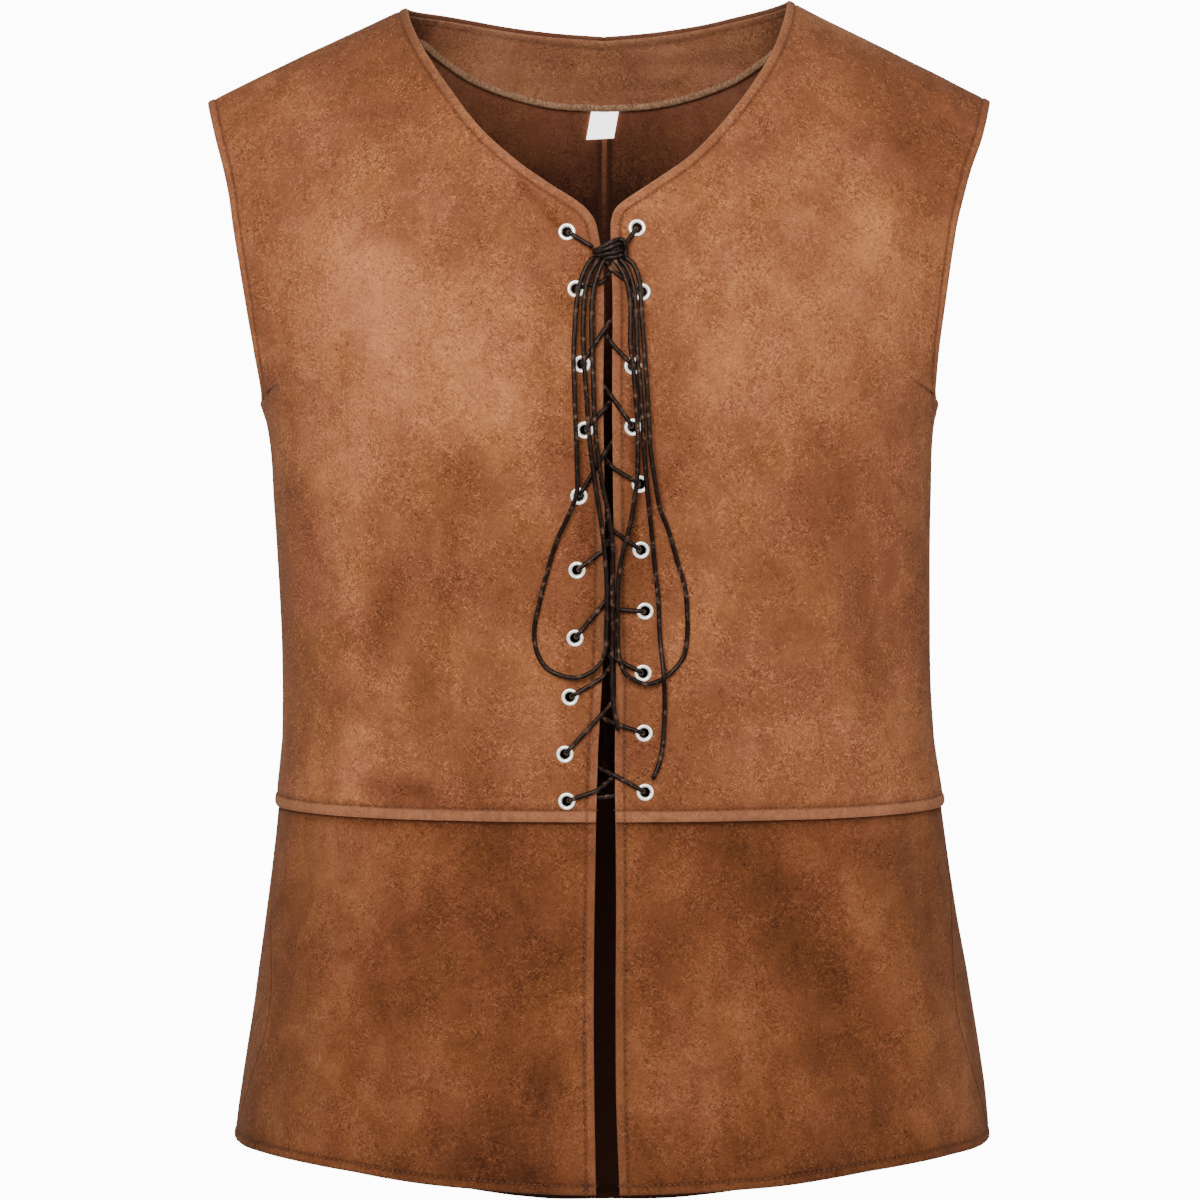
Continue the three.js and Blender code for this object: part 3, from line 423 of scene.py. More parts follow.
def cloth(sign, turn, z):
    """The cloth's middle with its folds, and the way out of it."""
    at, out = smooth_place(sign, turn, z), outward(sign, turn, z)
    on_front = np.cos(turn) > 0
    fade = np.minimum(1, np.abs(np.cos(turn)) * 3)
    under_laces = on_front * (1 - smooth(np.abs(at[..., 0]), *LACED_AREA["across"]))
    under_laces = under_laces * smooth(-z, *LACED_AREA["above"]) * (1 - smooth(-z, *LACED_AREA["below"]))
    small = fade * folds_at(CREASES, on_front, at[..., 0], z)
    for high, size, seed in SWELLINGS:
        small = small + high * ripple(at, size, seed)
    high = fade * folds_at(FOLDS, on_front, at[..., 0], z) + (1 - under_laces) * small
    return at + high[..., None] * out, out


def turn_of(sign, x, z, front=True):
    """The turn at which the form has this x."""
    share = np.minimum(np.abs(x) / sided(SECTIONS, sign, z), 1)
    turn = np.arcsin(share ** (SQUARENESS / 2)) * np.where(x * sign < 0, -1, 1)
    return turn if front else math.pi - turn


def on_front(x, z, lift):
    """A place on the front of the bodice, at a height over the cloth's middle."""
    x, z, lift = (np.asarray(v, float) for v in (x, z, lift))
    sign = np.where(x < 0, -1, 1)
    turn = turn_of(sign, x, z)
    at, out = smooth_place(sign, turn, z), outward(sign, turn, z)
    return at + out * (lift + lap_step(z))[..., None]


# ---------- meshes ----------
def add_object(name, data):
    obj = bpy.data.objects.new(name, data)
    bpy.context.scene.collection.objects.link(obj)
    return obj


def add_mesh(name, verts_mm, faces, material, smooth_shaded=True):
    """A new object at the origin, from places in millimetres."""
    mesh = bpy.data.meshes.new(name)
    mesh.from_pydata((np.asarray(verts_mm) * MM).tolist(), [], [list(map(int, f)) for f in faces])
    mesh.validate()
    mesh.materials.append(material)
    if smooth_shaded:
        mesh.shade_smooth()
    return add_object(name, mesh)


def set_point_values(obj, name, values):
    layer = obj.data.attributes.new(name, "FLOAT", "POINT")
    layer.data.foreach_set("value", np.asarray(values, np.float32))


# the seam allowance inside the centre back: its middle, half width, and the painted shade line beside it
ALLOWANCE = {"x": 0.4, "half_wide": 1.9, "shade_at": 3.0, "shade_wide": 1.1, "top": -60.0}
# painted shade on the flesh side inside: base tone, slope across, how much darker it goes downwards
# between two depths, and the shade beside the back seam
INNER_PAINTED_SHADE = {"base": 0.05, "across": 0.0011, "depth": 0.9, "from": 44, "to": 150, "seam": 0.5}


def inner_painted_shade(places):
    """The flesh side's painted shade: darker further down, a little darker to the right, and a dark line
    beside the back seam.
    """
    x, y, z = (places[..., k] for k in range(3))
    shade_beside_seam = (y > 0) * bell(np.abs(x - ALLOWANCE["x"]), ALLOWANCE["shade_at"], ALLOWANCE["shade_wide"])
    shade_and_tone = INNER_PAINTED_SHADE["base"] + INNER_PAINTED_SHADE["across"] * np.clip(x, -90, 90)
    shade_and_tone = shade_and_tone - INNER_PAINTED_SHADE["depth"] * smooth(-z, INNER_PAINTED_SHADE["from"], INNER_PAINTED_SHADE["to"])
    return shade_and_tone - INNER_PAINTED_SHADE["seam"] * shade_beside_seam


def shell(name, outer, inner, material, open_cells=None, values=None, reverse=None):
    """A closed thin wall between two grids of places, with holes where cells are open."""
    rows, cols = outer.shape[:2]
    closed = np.ones((rows - 1, cols - 1), bool) if open_cells is None else ~open_cells
    index = np.arange(rows * cols).reshape(rows, cols)
    a, b = index[:-1, :-1], index[1:, :-1]
    c, d = index[1:, 1:], index[:-1, 1:]
    first = outer[1, 0] - outer[0, 0], outer[0, 1] - outer[0, 0]
    if np.dot(np.cross(*first), outer[0, 0] - inner[0, 0]) < 0:
        b, d = d, b
    cells = np.stack([a, b, c, d], -1)[closed]
    total = rows * cols
    faces = [*cells, *(cells[:, ::-1] + total)]
    pairs = np.concatenate([cells[:, [k, (k + 1) % 4]] for k in range(4)])
    seen = {(int(p), int(q)) for p, q in pairs}
    for p, q in seen:
        if (q, p) not in seen:
            faces.append((q, p, p + total, q + total))
    used = np.unique(np.concatenate([cells.ravel(), cells.ravel() + total]))
    renumber = np.full(2 * total, -1)
    renumber[used] = np.arange(len(used))
    verts = np.concatenate([outer.reshape(-1, 3), inner.reshape(-1, 3)])[used]
    obj = add_mesh(name, verts, [renumber[list(f)] for f in faces], material)
    if reverse:
        obj.data.materials.append(reverse)
        slots = np.zeros(len(obj.data.polygons), np.int32)
        slots[len(cells) : 2 * len(cells)] = 1
        obj.data.polygons.foreach_set("material_index", slots)
    for key, value in (values or {}).items():
        # the inner face's tone also takes the painted inner shade
        behind = value + inner_painted_shade(inner) if key == "shade_and_tone" and reverse else value
        set_point_values(obj, key, np.concatenate([value.ravel(), behind.ravel()])[used])
    return obj


def along(points):
    """Length from the first point to each point."""
    steps = np.linalg.norm(np.diff(points, axis=0), axis=1)
    return np.concatenate([[0], np.cumsum(steps)])


def spline(points, step):
    """A centripetal Catmull-Rom curve through the points, resampled at even steps."""
    points = np.asarray(points, float)
    ends = 2 * points[0] - points[1], 2 * points[-1] - points[-2]
    p = np.concatenate([[ends[0]], points, [ends[1]]])
    knots = np.concatenate([[0], np.cumsum(np.linalg.norm(np.diff(p, axis=0), axis=1) ** 0.5)])
    made = []
    for i in range(1, len(p) - 2):
        t0, t1, t2, t3 = knots[i - 1 : i + 3]
        t = np.linspace(t1, t2, 16, endpoint=False)[:, None]
        a1 = (t1 - t) / (t1 - t0) * p[i - 1] + (t - t0) / (t1 - t0) * p[i]
        a2 = (t2 - t) / (t2 - t1) * p[i] + (t - t1) / (t2 - t1) * p[i + 1]
        a3 = (t3 - t) / (t3 - t2) * p[i + 1] + (t - t2) / (t3 - t2) * p[i + 2]
        b1 = (t2 - t) / (t2 - t0) * a1 + (t - t0) / (t2 - t0) * a2
        b2 = (t3 - t) / (t3 - t1) * a2 + (t - t1) / (t3 - t1) * a3
        made.append((t2 - t) / (t2 - t1) * b1 + (t - t1) / (t2 - t1) * b2)
    made = np.concatenate([*made, points[-1:]])
    run = along(made)
    at = np.linspace(0, run[-1], max(int(round(run[-1] / step)), 2) + 1)
    return np.stack([np.interp(at, run, made[:, k]) for k in range(3)], -1)


def tube(name, path, radius, material, sides=12, flat=1.0):
    """A round cord with domed ends; its UV runs round it and along it, in centimetres."""
    tangents = unit(np.gradient(path, axis=0))
    side = np.cross(tangents[0], (0, 1, 0))
    frames = []
    for tangent in tangents:
        side = unit(side - tangent * side.dot(tangent))
        frames.append((side, np.cross(tangent, side)))
    run = along(path)
    dome = np.sqrt(np.clip(1 - (1 - np.minimum(run, run[-1] - run) / radius) ** 2, 0.04, 1))
    dome = np.where(np.minimum(run, run[-1] - run) > radius, 1, dome)
    turns = np.linspace(0, 2 * math.pi, sides, endpoint=False)
    rings = []
    for at, (u, v), share in zip(path, frames, dome):
        ring = np.cos(turns)[:, None] * u + np.sin(turns)[:, None] * v * flat
        rings.append(at + radius * share * ring)
    verts = [*np.concatenate(rings), path[0], path[-1]]
    faces, uvs = [], []
    last = (len(path) - 1) * sides
    for r in range(len(path) - 1):
        for k in range(sides):
            n = (k + 1) % sides
            faces.append((r * sides + k, r * sides + n, (r + 1) * sides + n, (r + 1) * sides + k))
            uvs += [(k / sides, run[r]), ((k + 1) / sides, run[r])]
            uvs += [((k + 1) / sides, run[r + 1]), (k / sides, run[r + 1])]
    for k in range(sides):
        n = (k + 1) % sides
        faces.append((n, k, len(verts) - 2))
        faces.append((last + k, last + n, len(verts) - 1))
        uvs += [(0.5, run[0])] * 3 + [(0.5, run[-1])] * 3
    obj = add_mesh(name, np.array(verts), faces, material)
    layer = obj.data.uv_layers.new(name="cord")
    layer.data.foreach_set("uv", np.array([(u, v / 10) for u, v in uvs], np.float32).ravel())
    return obj


# ---------- materials ----------
def new_group(name, inputs, outputs, tree="ShaderNodeTree"):
    """An empty node group: inputs are (name, kind, default), outputs are (name, kind)."""
    group = bpy.data.node_groups.new(name, tree)
    for label, kind, default in inputs:
        socket = group.interface.new_socket(label, in_out="INPUT", socket_type=kind)
        if default is not None:
            socket.default_value = default
    for label, kind in outputs:
        group.interface.new_socket(label, in_out="OUTPUT", socket_type=kind)
    return group, group.nodes.new("NodeGroupInput"), group.nodes.new("NodeGroupOutput")


class Wiring:
    """Short calls that add nodes to one tree."""

    def __init__(self, tree):
        self.tree = tree

    def link(self, source, target):
        self.tree.links.new(source, target)

    def fill(self, made, given):
        """Gives a node's inputs, by name or number, a link from a socket or a plain value."""
        for key, value in given.items():
            if isinstance(value, bpy.types.NodeSocket):
                self.link(value, made.inputs[key])
            else:
                made.inputs[key].default_value = value

    def node(self, kind, given=None, **settings):
        made = self.tree.nodes.new(kind)
        for key, value in settings.items():
            setattr(made, key, value)
        self.fill(made, given or {})
        return made

    def out(self, kind, given=None, **settings):
        """A new node's first output."""
        return self.node(kind, given, **settings).outputs[0]

    def math(self, operation, a, b=0.0, c=0.0, clamp=False):
        given = {0: a, 1: b, 2: c}
        return self.out("ShaderNodeMath", given, operation=operation, use_clamp=clamp)

    def ramp(self, value, low, high, to_low=0.0, to_high=1.0, kind="SMOOTHSTEP"):
        given = {0: value, 1: low, 2: high, 3: to_low, 4: to_high}
        return self.out("ShaderNodeMapRange", given, interpolation_type=kind)

    def blend(self, factor, a, b, kind="MIX"):
        given = {0: factor, 6: a, 7: b}
        return self.node("ShaderNodeMix", given, data_type="RGBA", blend_type=kind).outputs[2]

    def noise(self, vector, scale, detail=2.0, roughness=0.5, distortion=0.0):
        given = {"Vector": vector, "Scale": scale, "Detail": detail}
        given |= {"Roughness": roughness, "Distortion": distortion}
        return self.node("ShaderNodeTexNoise", given).outputs["Fac"]

    def mapping(self, vector, scale=(1, 1, 1), rotation=(0, 0, 0), kind="POINT"):
        given = {"Vector": vector, "Scale": scale, "Rotation": rotation}
        return self.out("ShaderNodeMapping", given, vector_type=kind)

    def bump(self, height, strength, distance):
        given = {"Strength": strength, "Distance": distance, "Height": height}
        return self.out("ShaderNodeBump", given)

    def place(self):
        return self.node("ShaderNodeTexCoord").outputs["Object"]

    def attribute(self, name):
        return self.node("ShaderNodeAttribute", attribute_name=name).outputs["Fac"]


def rgb(red, green, blue):
    """A colour given as it looks on a screen, 0 to 255, as the linear colour of a socket."""
    parts = [v / 255 for v in (red, green, blue)]
    return tuple(v / 12.92 if v <= 0.04045 else ((v + 0.055) / 1.055) ** 2.4 for v in parts) + (1,)


def short_fibres_group():
    """One short fibre in each small cell, turned its own way, as a mask."""
    inputs = [("Vector", "NodeSocketVector", None), ("Cells", "NodeSocketFloat", 430.0)]
    inputs += [("Half Length", "NodeSocketFloat", 0.0015), ("Half Width", "NodeSocketFloat", 0.0002)]
    group, source, result = new_group("short fibres", inputs, [("Mask", "NodeSocketFloat")])
    place, scale, half_length, half_width = (source.outputs[label] for label, _, _ in inputs)
    w = Wiring(group)
    cells = w.node("ShaderNodeTexVoronoi", {"Vector": place, "Scale": scale}).outputs
    away = w.out("ShaderNodeVectorMath", {0: place, 1: cells["Position"]}, operation="SUBTRACT")
    chance = w.node("ShaderNodeSeparateColor", {0: cells["Color"]}).outputs
    angle = w.math("MULTIPLY", chance[0], 2 * math.pi)
    turned = w.out("ShaderNodeVectorRotate", {"Vector": away, "Angle": angle}, rotation_type="Y_AXIS")
    parts = w.node("ShaderNodeSeparateXYZ", {0: turned}).outputs
    run, off = (w.math("ABSOLUTE", parts[k]) for k in (0, 2))
    ends, side = w.math("DIVIDE", run, half_length), w.math("DIVIDE", off, half_width)
    mask = w.math("MULTIPLY", w.ramp(ends, 0.5, 1.0, 1.0, 0.0), w.ramp(side, 0.3, 1.0, 1.0, 0.0))
    strength = w.ramp(chance[1], 0.25, 1.0, kind="LINEAR")
    w.link(w.math("MULTIPLY", mask, strength), result.inputs["Mask"])
    return group


SHORT_FIBRES = short_fibres_group()
# how much each part of the nap moves the colour between its dark, middle and light
NAP_SHARES = {"wide": 0.6, "cloudy": 0.58, "tufts": 0.38, "streaks": 1.5, "hairs": 0.66, "flecks": -0.3}
DARK_HAIRS = {"Cells": 350, "Half Length": 0.0018}
# turn and scale of the two layers of brushed streaks
STREAK_LAYERS = ((0.6, 1000), (2.4, 1150))


def suede_nap_group():
    """Brushed nap: soft blotches, short fibres and dark flecks, as a colour and a height. Its tone input
    also carries painted light and painted shade.
    """
    inputs = [("Shade And Tone", "NodeSocketFloat", 0.0), ("Blotch", "NodeSocketFloat", 1.0)]
    inputs += [("Grain", "NodeSocketFloat", 1.0), ("Dark", "NodeSocketColor", rgb(90, 52, 30))]
    inputs += [("Middle", "NodeSocketColor", rgb(150, 95, 60))]
    inputs += [("Light", "NodeSocketColor", rgb(200, 140, 100))]
    outputs = [("Color", "NodeSocketColor"), ("Height", "NodeSocketFloat")]
    group, source, result = new_group("suede nap", inputs, outputs)
    shade_and_tone, blotchy, grainy, dark, middle, light = (source.outputs[label] for label, _, _ in inputs)
    w = Wiring(group)
    place = w.place()

    def swing(noise, share, base):
        return w.math("MULTIPLY_ADD", w.math("SUBTRACT", noise, 0.5), share, base)

    def hairs_of(vector, given):
        return w.out("ShaderNodeGroup", {"Vector": vector} | given, node_tree=SHORT_FIBRES)

    wide = w.noise(w.mapping(place, (1, 1, 0.7), (0, 0.35, 0)), 12, 2, 0.5, 0.3)
    cloudy = w.noise(w.mapping(place, (1, 1, 0.8)), 42, 3, 0.6, 0.5)
    tufts = w.noise(place, 230, 3, 0.7, 0.4)
    fibres = [
        w.noise(w.mapping(place, (3, 1, 1), (0, lean, 0), "TEXTURE"), scale, 2, 0.6, 0.8)
        for lean, scale in STREAK_LAYERS
    ]
    streaks = w.math("MULTIPLY", w.math("ADD", *fibres), 0.5)
    rough = w.ramp(w.noise(place, 55, 3, 0.65, 0.4), 0.38, 0.64, 0.55, 1.35)
    dark_hairs = hairs_of(w.mapping(place, rotation=(0.4, 1.1, 0.7)), DARK_HAIRS)
    hairs = w.math("SUBTRACT", hairs_of(place, {}), w.math("MULTIPLY", dark_hairs, 0.9))
    flecks = w.ramp(w.noise(place, 700, 2, 0.5), 0.30, 0.40, NAP_SHARES["flecks"], 0.0)
    blotch = swing(cloudy, NAP_SHARES["cloudy"], swing(wide, NAP_SHARES["wide"], 0.0))
    grain = swing(tufts, NAP_SHARES["tufts"], swing(streaks, NAP_SHARES["streaks"], 0.0))
    grain = w.math("MULTIPLY_ADD", hairs, NAP_SHARES["hairs"], w.math("ADD", grain, flecks))
    grain = w.math("MULTIPLY", grain, rough)
    value = w.math("MULTIPLY_ADD", blotch, blotchy, 0.5)
    value = w.math("ADD", w.math("MULTIPLY_ADD", grain, grainy, value), shade_and_tone)
    lower = w.blend(w.ramp(value, -0.1, 0.5, kind="LINEAR"), dark, middle)
    full = w.blend(w.ramp(value, 0.5, 1.1, kind="LINEAR"), lower, light)
    drift = w.noise(place, 26, 3, 0.6, 0.4)
    tint = w.blend(w.ramp(drift, 0.3, 0.7), (1.0, 0.9, 0.87, 1), (1.0, 0.93, 0.77, 1))
    height = swing(tufts, 0.5, w.math("MULTIPLY_ADD", hairs, 0.25, streaks))
    w.link(w.blend(1.0, full, tint, "MULTIPLY"), result.inputs["Color"])
    w.link(height, result.inputs["Height"])
    return group


def sewn_edge_group():
    """Rubbed folds go lighter, partly worn nap and partly painted highlight; pressed stitch lines go
    darker, partly crushed nap and partly painted shade in the groove.
    """
    inputs = [("Color", "NodeSocketColor", rgb(150, 95, 60))]
    inputs += [(label, "NodeSocketFloat", 0.0) for label in ("Rubbed And Lit", "Pressed And Shaded")]
    inputs += [("Rubbed And Lit Color", "NodeSocketColor", rgb(190, 130, 95))]
    inputs += [("Pressed And Shaded Color", "NodeSocketColor", rgb(84, 46, 26))]
    group, source, result = new_group("sewn edge", inputs, [("Color", "NodeSocketColor")])
    w = Wiring(group)
    uneven = w.ramp(w.noise(w.place(), 260, 3, 0.6), 0.3, 0.7, 0.45, 1.0)
    color = source.outputs["Color"]
    for label in ("Rubbed And Lit", "Pressed And Shaded"):
        share = w.math("MULTIPLY", source.outputs[label], uneven, clamp=True)
        color = w.blend(share, color, source.outputs[label + " Color"])
    w.link(color, result.inputs["Color"])
    return group


NAP = suede_nap_group()
SEWN_EDGE = sewn_edge_group()


def new_material(name):
    material = bpy.data.materials.new(name)
    material.use_nodes = True
    tree = material.node_tree
    return material, Wiring(tree), tree.nodes["Principled BSDF"]


def suede(name, *colors, blotch=1.0, grain=1.0):
    """Matt suede. Its colours are the dark, middle and light nap, which painted light and shade also
    move between, then rubbed and lit places and pressed and shaded places.
    """
    dark, middle, light, rubbed_and_lit, pressed_and_shaded = (rgb(*color) for color in colors)
    material, w, shader = new_material(name)
    given = {"Shade And Tone": w.attribute("shade_and_tone"), "Dark": dark, "Middle": middle, "Light": light}
    given |= {"Blotch": blotch, "Grain": grain}
    nap = w.node("ShaderNodeGroup", given, node_tree=NAP).outputs
    given = {"Color": nap["Color"], "Rubbed And Lit Color": rubbed_and_lit, "Pressed And Shaded Color": pressed_and_shaded}
    given |= {"Rubbed And Lit": w.attribute("rubbed_and_lit"), "Pressed And Shaded": w.attribute("pressed_and_shaded")}
    looks = {"Base Color": w.out("ShaderNodeGroup", given, node_tree=SEWN_EDGE), "Roughness": 0.95}
    looks |= {"Specular IOR Level": 0.12, "Sheen Weight": 0.12, "Sheen Roughness": 0.5}
    looks |= {"Sheen Tint": (1.0, 0.72, 0.52, 1), "Normal": w.bump(nap["Height"], 0.6, 0.0009)}
    w.fill(shader, looks)
    return material


TAN_SUEDE = suede(
    "tan suede",
    (98, 55, 33), (163, 103, 71), (243, 165, 114), (200, 137, 101), (68, 37, 22),
    blotch=1.15,
)
BROWN_SUEDE = suede(
    "brown suede",
    (78, 43, 25), (137, 83, 53), (192, 128, 89), (176, 117, 84), (52, 27, 16),
    blotch=1.35,
)
FACING_SUEDE = suede(
    "facing suede",
    (96, 57, 38), (164, 109, 80), (208, 150, 117), (188, 135, 104), (68, 38, 25),
    grain=1.1,
)
# the flesh side inside: its colours are darkened as painted shade
SHADED_FLESH_SIDE = suede(
    "suede flesh side with painted shade",
    (58, 32, 23), (126, 78, 56), (168, 118, 94), (120, 80, 60), (30, 17, 12),
    grain=0.7,
)


def lace_material():
    """Waxed dark cord with fine grooves along it whose lighter streaks are partly painted highlight, and
    dull lighter places that are partly worn and partly painted highlight.
    """
    material, w, shader = new_material("dark waxed cord")
    uv = w.out("ShaderNodeUVMap", uv_map="cord")
    grooves = w.noise(w.mapping(uv, (7, 0.9, 1)), 1.6, 3, 0.6)
    worn_and_lit = w.noise(w.mapping(uv, (1.2, 1.6, 1)), 1.4, 3, 0.6)
    dark = w.blend(w.ramp(grooves, 0.45, 0.78), rgb(8, 5, 4), rgb(52, 34, 27))
    # lighter places: partly wear, partly painted highlight
    looks = {"Base Color": w.blend(w.ramp(worn_and_lit, 0.52, 0.74), dark, rgb(124, 92, 76))}
    looks |= {"Roughness": w.ramp(worn_and_lit, 0.3, 0.8, 0.3, 0.5), "Specular IOR Level": 0.3}
    looks |= {"Specular Tint": (1.0, 0.74, 0.62, 1), "Normal": w.bump(grooves, 0.5, 0.0006)}
    w.fill(shader, looks)
    return material


def metal_material():
    """Pale plated brass, lightly scuffed, with painted shade where it falls away steeply and a painted
    glow where it faces the view.
    """
    material, w, shader = new_material("pale plated metal")
    scuffs = w.noise(w.place(), 700, 3, 0.6)
    plate = w.blend(w.ramp(scuffs, 0.4, 0.75), rgb(244, 238, 224), rgb(206, 190, 160))
    # the dark colour at steep places is painted shade, the emission a painted glow
    steep = w.node("ShaderNodeLayerWeight").outputs["Facing"]
    looks = {"Base Color": w.blend(w.ramp(steep, 0.3, 0.62), plate, rgb(52, 40, 32)), "Metallic": 1.0}
    looks |= {"Roughness": w.ramp(scuffs, 0.3, 0.8, 0.2, 0.42), "Emission Color": (1.0, 0.97, 0.9, 1)}
    looks |= {"Emission Strength": w.ramp(steep, 0.2, 0.5, 0.95, 0.0)}
    w.fill(shader, looks)
    return material


def label_material():
    """Bare white tape with a fine ribbed weave, and a painted glow that keeps it bright in the shade
    inside the neck.
    """
    material, w, shader = new_material("white woven tape")
    place = w.place()
    ribs = w.noise(w.mapping(place, (0.4, 1, 2.4)), 1400, 1, 0.4)
    soil = w.ramp(w.noise(place, 90, 3, 0.6), 0.3, 0.75)
    looks = {"Base Color": w.blend(soil, rgb(244, 243, 240), rgb(224, 222, 216)), "Roughness": 0.75}
    # painted glow: the tape shows as though in full light
    looks |= {"Emission Color": (1, 1, 1, 1), "Emission Strength": 2.7}
    looks |= {"Normal": w.bump(ribs, 0.35, 0.0003)}
    w.fill(shader, looks)
    return material


def thread_material(name, dark, light):
    """Matt sewing thread, a little redder than the suede."""
    material, w, shader = new_material(name)
    color = w.blend(w.noise(w.place(), 900, 2, 0.5), dark, light)
    w.fill(shader, {"Base Color": color, "Roughness": 0.7})
    return material


def binding_material():
    """Pale tan overlock thread along the facing's edge."""
    material, w, shader = new_material("overlock thread")
    strands = w.noise(w.mapping(w.place(), (1, 1, 0.4)), 900, 3, 0.6)
    color = w.blend(w.ramp(strands, 0.3, 0.7), rgb(122, 82, 54), rgb(196, 152, 116))
    w.fill(shader, {"Base Color": color, "Roughness": 0.75, "Normal": w.bump(strands, 0.5, 0.0005)})
    return material


LACE = lace_material()
METAL = metal_material()
LABEL_TAPE = label_material()
THREAD = thread_material("sewing thread", rgb(104, 58, 36), rgb(158, 98, 66))
DARK_THREAD = thread_material("dark tacking thread", rgb(52, 22, 12), rgb(92, 44, 26))
OVERLOCK = binding_material()

# ---------- camera, light and floor, in metres ----------
CAMERA = {"at": (-0.0025, -2.0, -0.280), "down": 2.58, "lens": 96.0}
LIGHTS = {
    "key light": {"at": (-0.35, -1.75, 0.35), "aim": (0, 0, -0.22), "size": (0.9, 0.9), "watts": 27},
    "fill light": {"at": (1.3, -1.9, 0.0), "aim": (0, 0, -0.35), "size": (1.2, 1.6), "watts": 9},
    "back light": {"at": (0.6, 2.6, 0.6), "aim": (0, 0, -0.3), "size": (1.6, 1.6), "watts": 30},
}
FLOOR = {"z": -1.4, "half": 40.0}
BACKDROP_GLOW, SKY_IN_GLOSS, SKY_LIGHT = 12.0, 0.9, 0.14

camera_data = bpy.data.cameras.new("camera")
camera_data.lens = CAMERA["lens"]
camera = add_object("camera", camera_data)
camera.location = CAMERA["at"]
camera.rotation_euler = (math.radians(90 - CAMERA["down"]), 0, 0)
bpy.context.scene.camera = camera


def area_light(name, at, aim, size, watts):
    """A rectangular lamp that points at a place."""
    data = bpy.data.lights.new(name, "AREA")
    data.shape = "RECTANGLE"
    data.size, data.size_y = size
    data.energy = watts
    lamp = add_object(name, data)
    lamp.location = at
    way = np.array(aim, float) - np.array(at, float)
    flat = math.hypot(way[0], way[1])
    lamp.rotation_euler = (math.atan2(flat, -way[2]), 0, math.atan2(way[1], way[0]) - math.pi / 2)


for light_name, given in LIGHTS.items():
    area_light(light_name, **given)

world = bpy.data.worlds.new("studio")
world.use_nodes = True
bpy.context.scene.world = world
sky = Wiring(world.node_tree)
ray = sky.node("ShaderNodeLightPath").outputs
sky_strength = sky.math("MULTIPLY_ADD", ray["Is Glossy Ray"], SKY_IN_GLOSS, SKY_LIGHT)
sky_strength = sky.math("MULTIPLY_ADD", ray["Is Camera Ray"], BACKDROP_GLOW, sky_strength)
sky.fill(world.node_tree.nodes["Background"], {"Color": (1, 1, 1, 1), "Strength": sky_strength})

floor_material, floor_wiring, floor_shader = new_material("pale floor")
floor_speckle = floor_wiring.noise(floor_wiring.place(), 3, 2)
floor_color = floor_wiring.blend(floor_speckle, (0.93, 0.93, 0.93, 1), (0.96, 0.96, 0.96, 1))
floor_ray = floor_wiring.node("ShaderNodeLightPath").outputs["Is Camera Ray"]
floor_glow = floor_wiring.math("MULTIPLY", floor_ray, BACKDROP_GLOW)
floor_looks = {"Base Color": floor_color, "Roughness": 0.9, "Emission Color": (1, 1, 1, 1)}
floor_wiring.fill(floor_shader, {**floor_looks, "Emission Strength": floor_glow})
floor_corners = [(x * FLOOR["half"], y * FLOOR["half"]) for x, y in ((-1, -1), (1, -1), (1, 1), (-1, 1))]
floor_places = np.array([(x, y, FLOOR["z"]) for x, y in floor_corners]) / MM
floor = add_mesh("floor", floor_places, [(0, 1, 2, 3)], floor_material, smooth_shaded=False)

# ---------- free cords of the bow ----------
def belongs(piece, slot_name, *nodes):
    """The piece rides the only body and stands for these nodes; the slot name is not used."""
    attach(piece, "root")
    if nodes:
        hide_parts(*nodes)


for cord_name, route in BOW_ROUTES.items():
    xs, zs, lifts = np.array(route, float).T
    path = spline(on_front(xs, zs, lifts), 1.4)
    piece = tube(cord_name + "_cord", path, LACE_D / 2, LACE)
    belongs(piece, "lace_leather", cord_name)

# ---------- sewn panels ----------
STITCH_INSET = 5.6
# distances from a finished or a sewn edge at which the cloth gets its own columns
EDGE_MARKS = [0, 0.5, 1.2, 2.4, 3.8, 4.9, STITCH_INSET, 6.3, 7.4, 9.2]
LACED_MARKS = EDGE_MARKS + [11.4, 13.6, 15.8, 18, 20.2, 22.4, 24.6, 27]
SEAM_MARKS = [0, 0.5, 1.2, 2.4, 4, 6, 9]
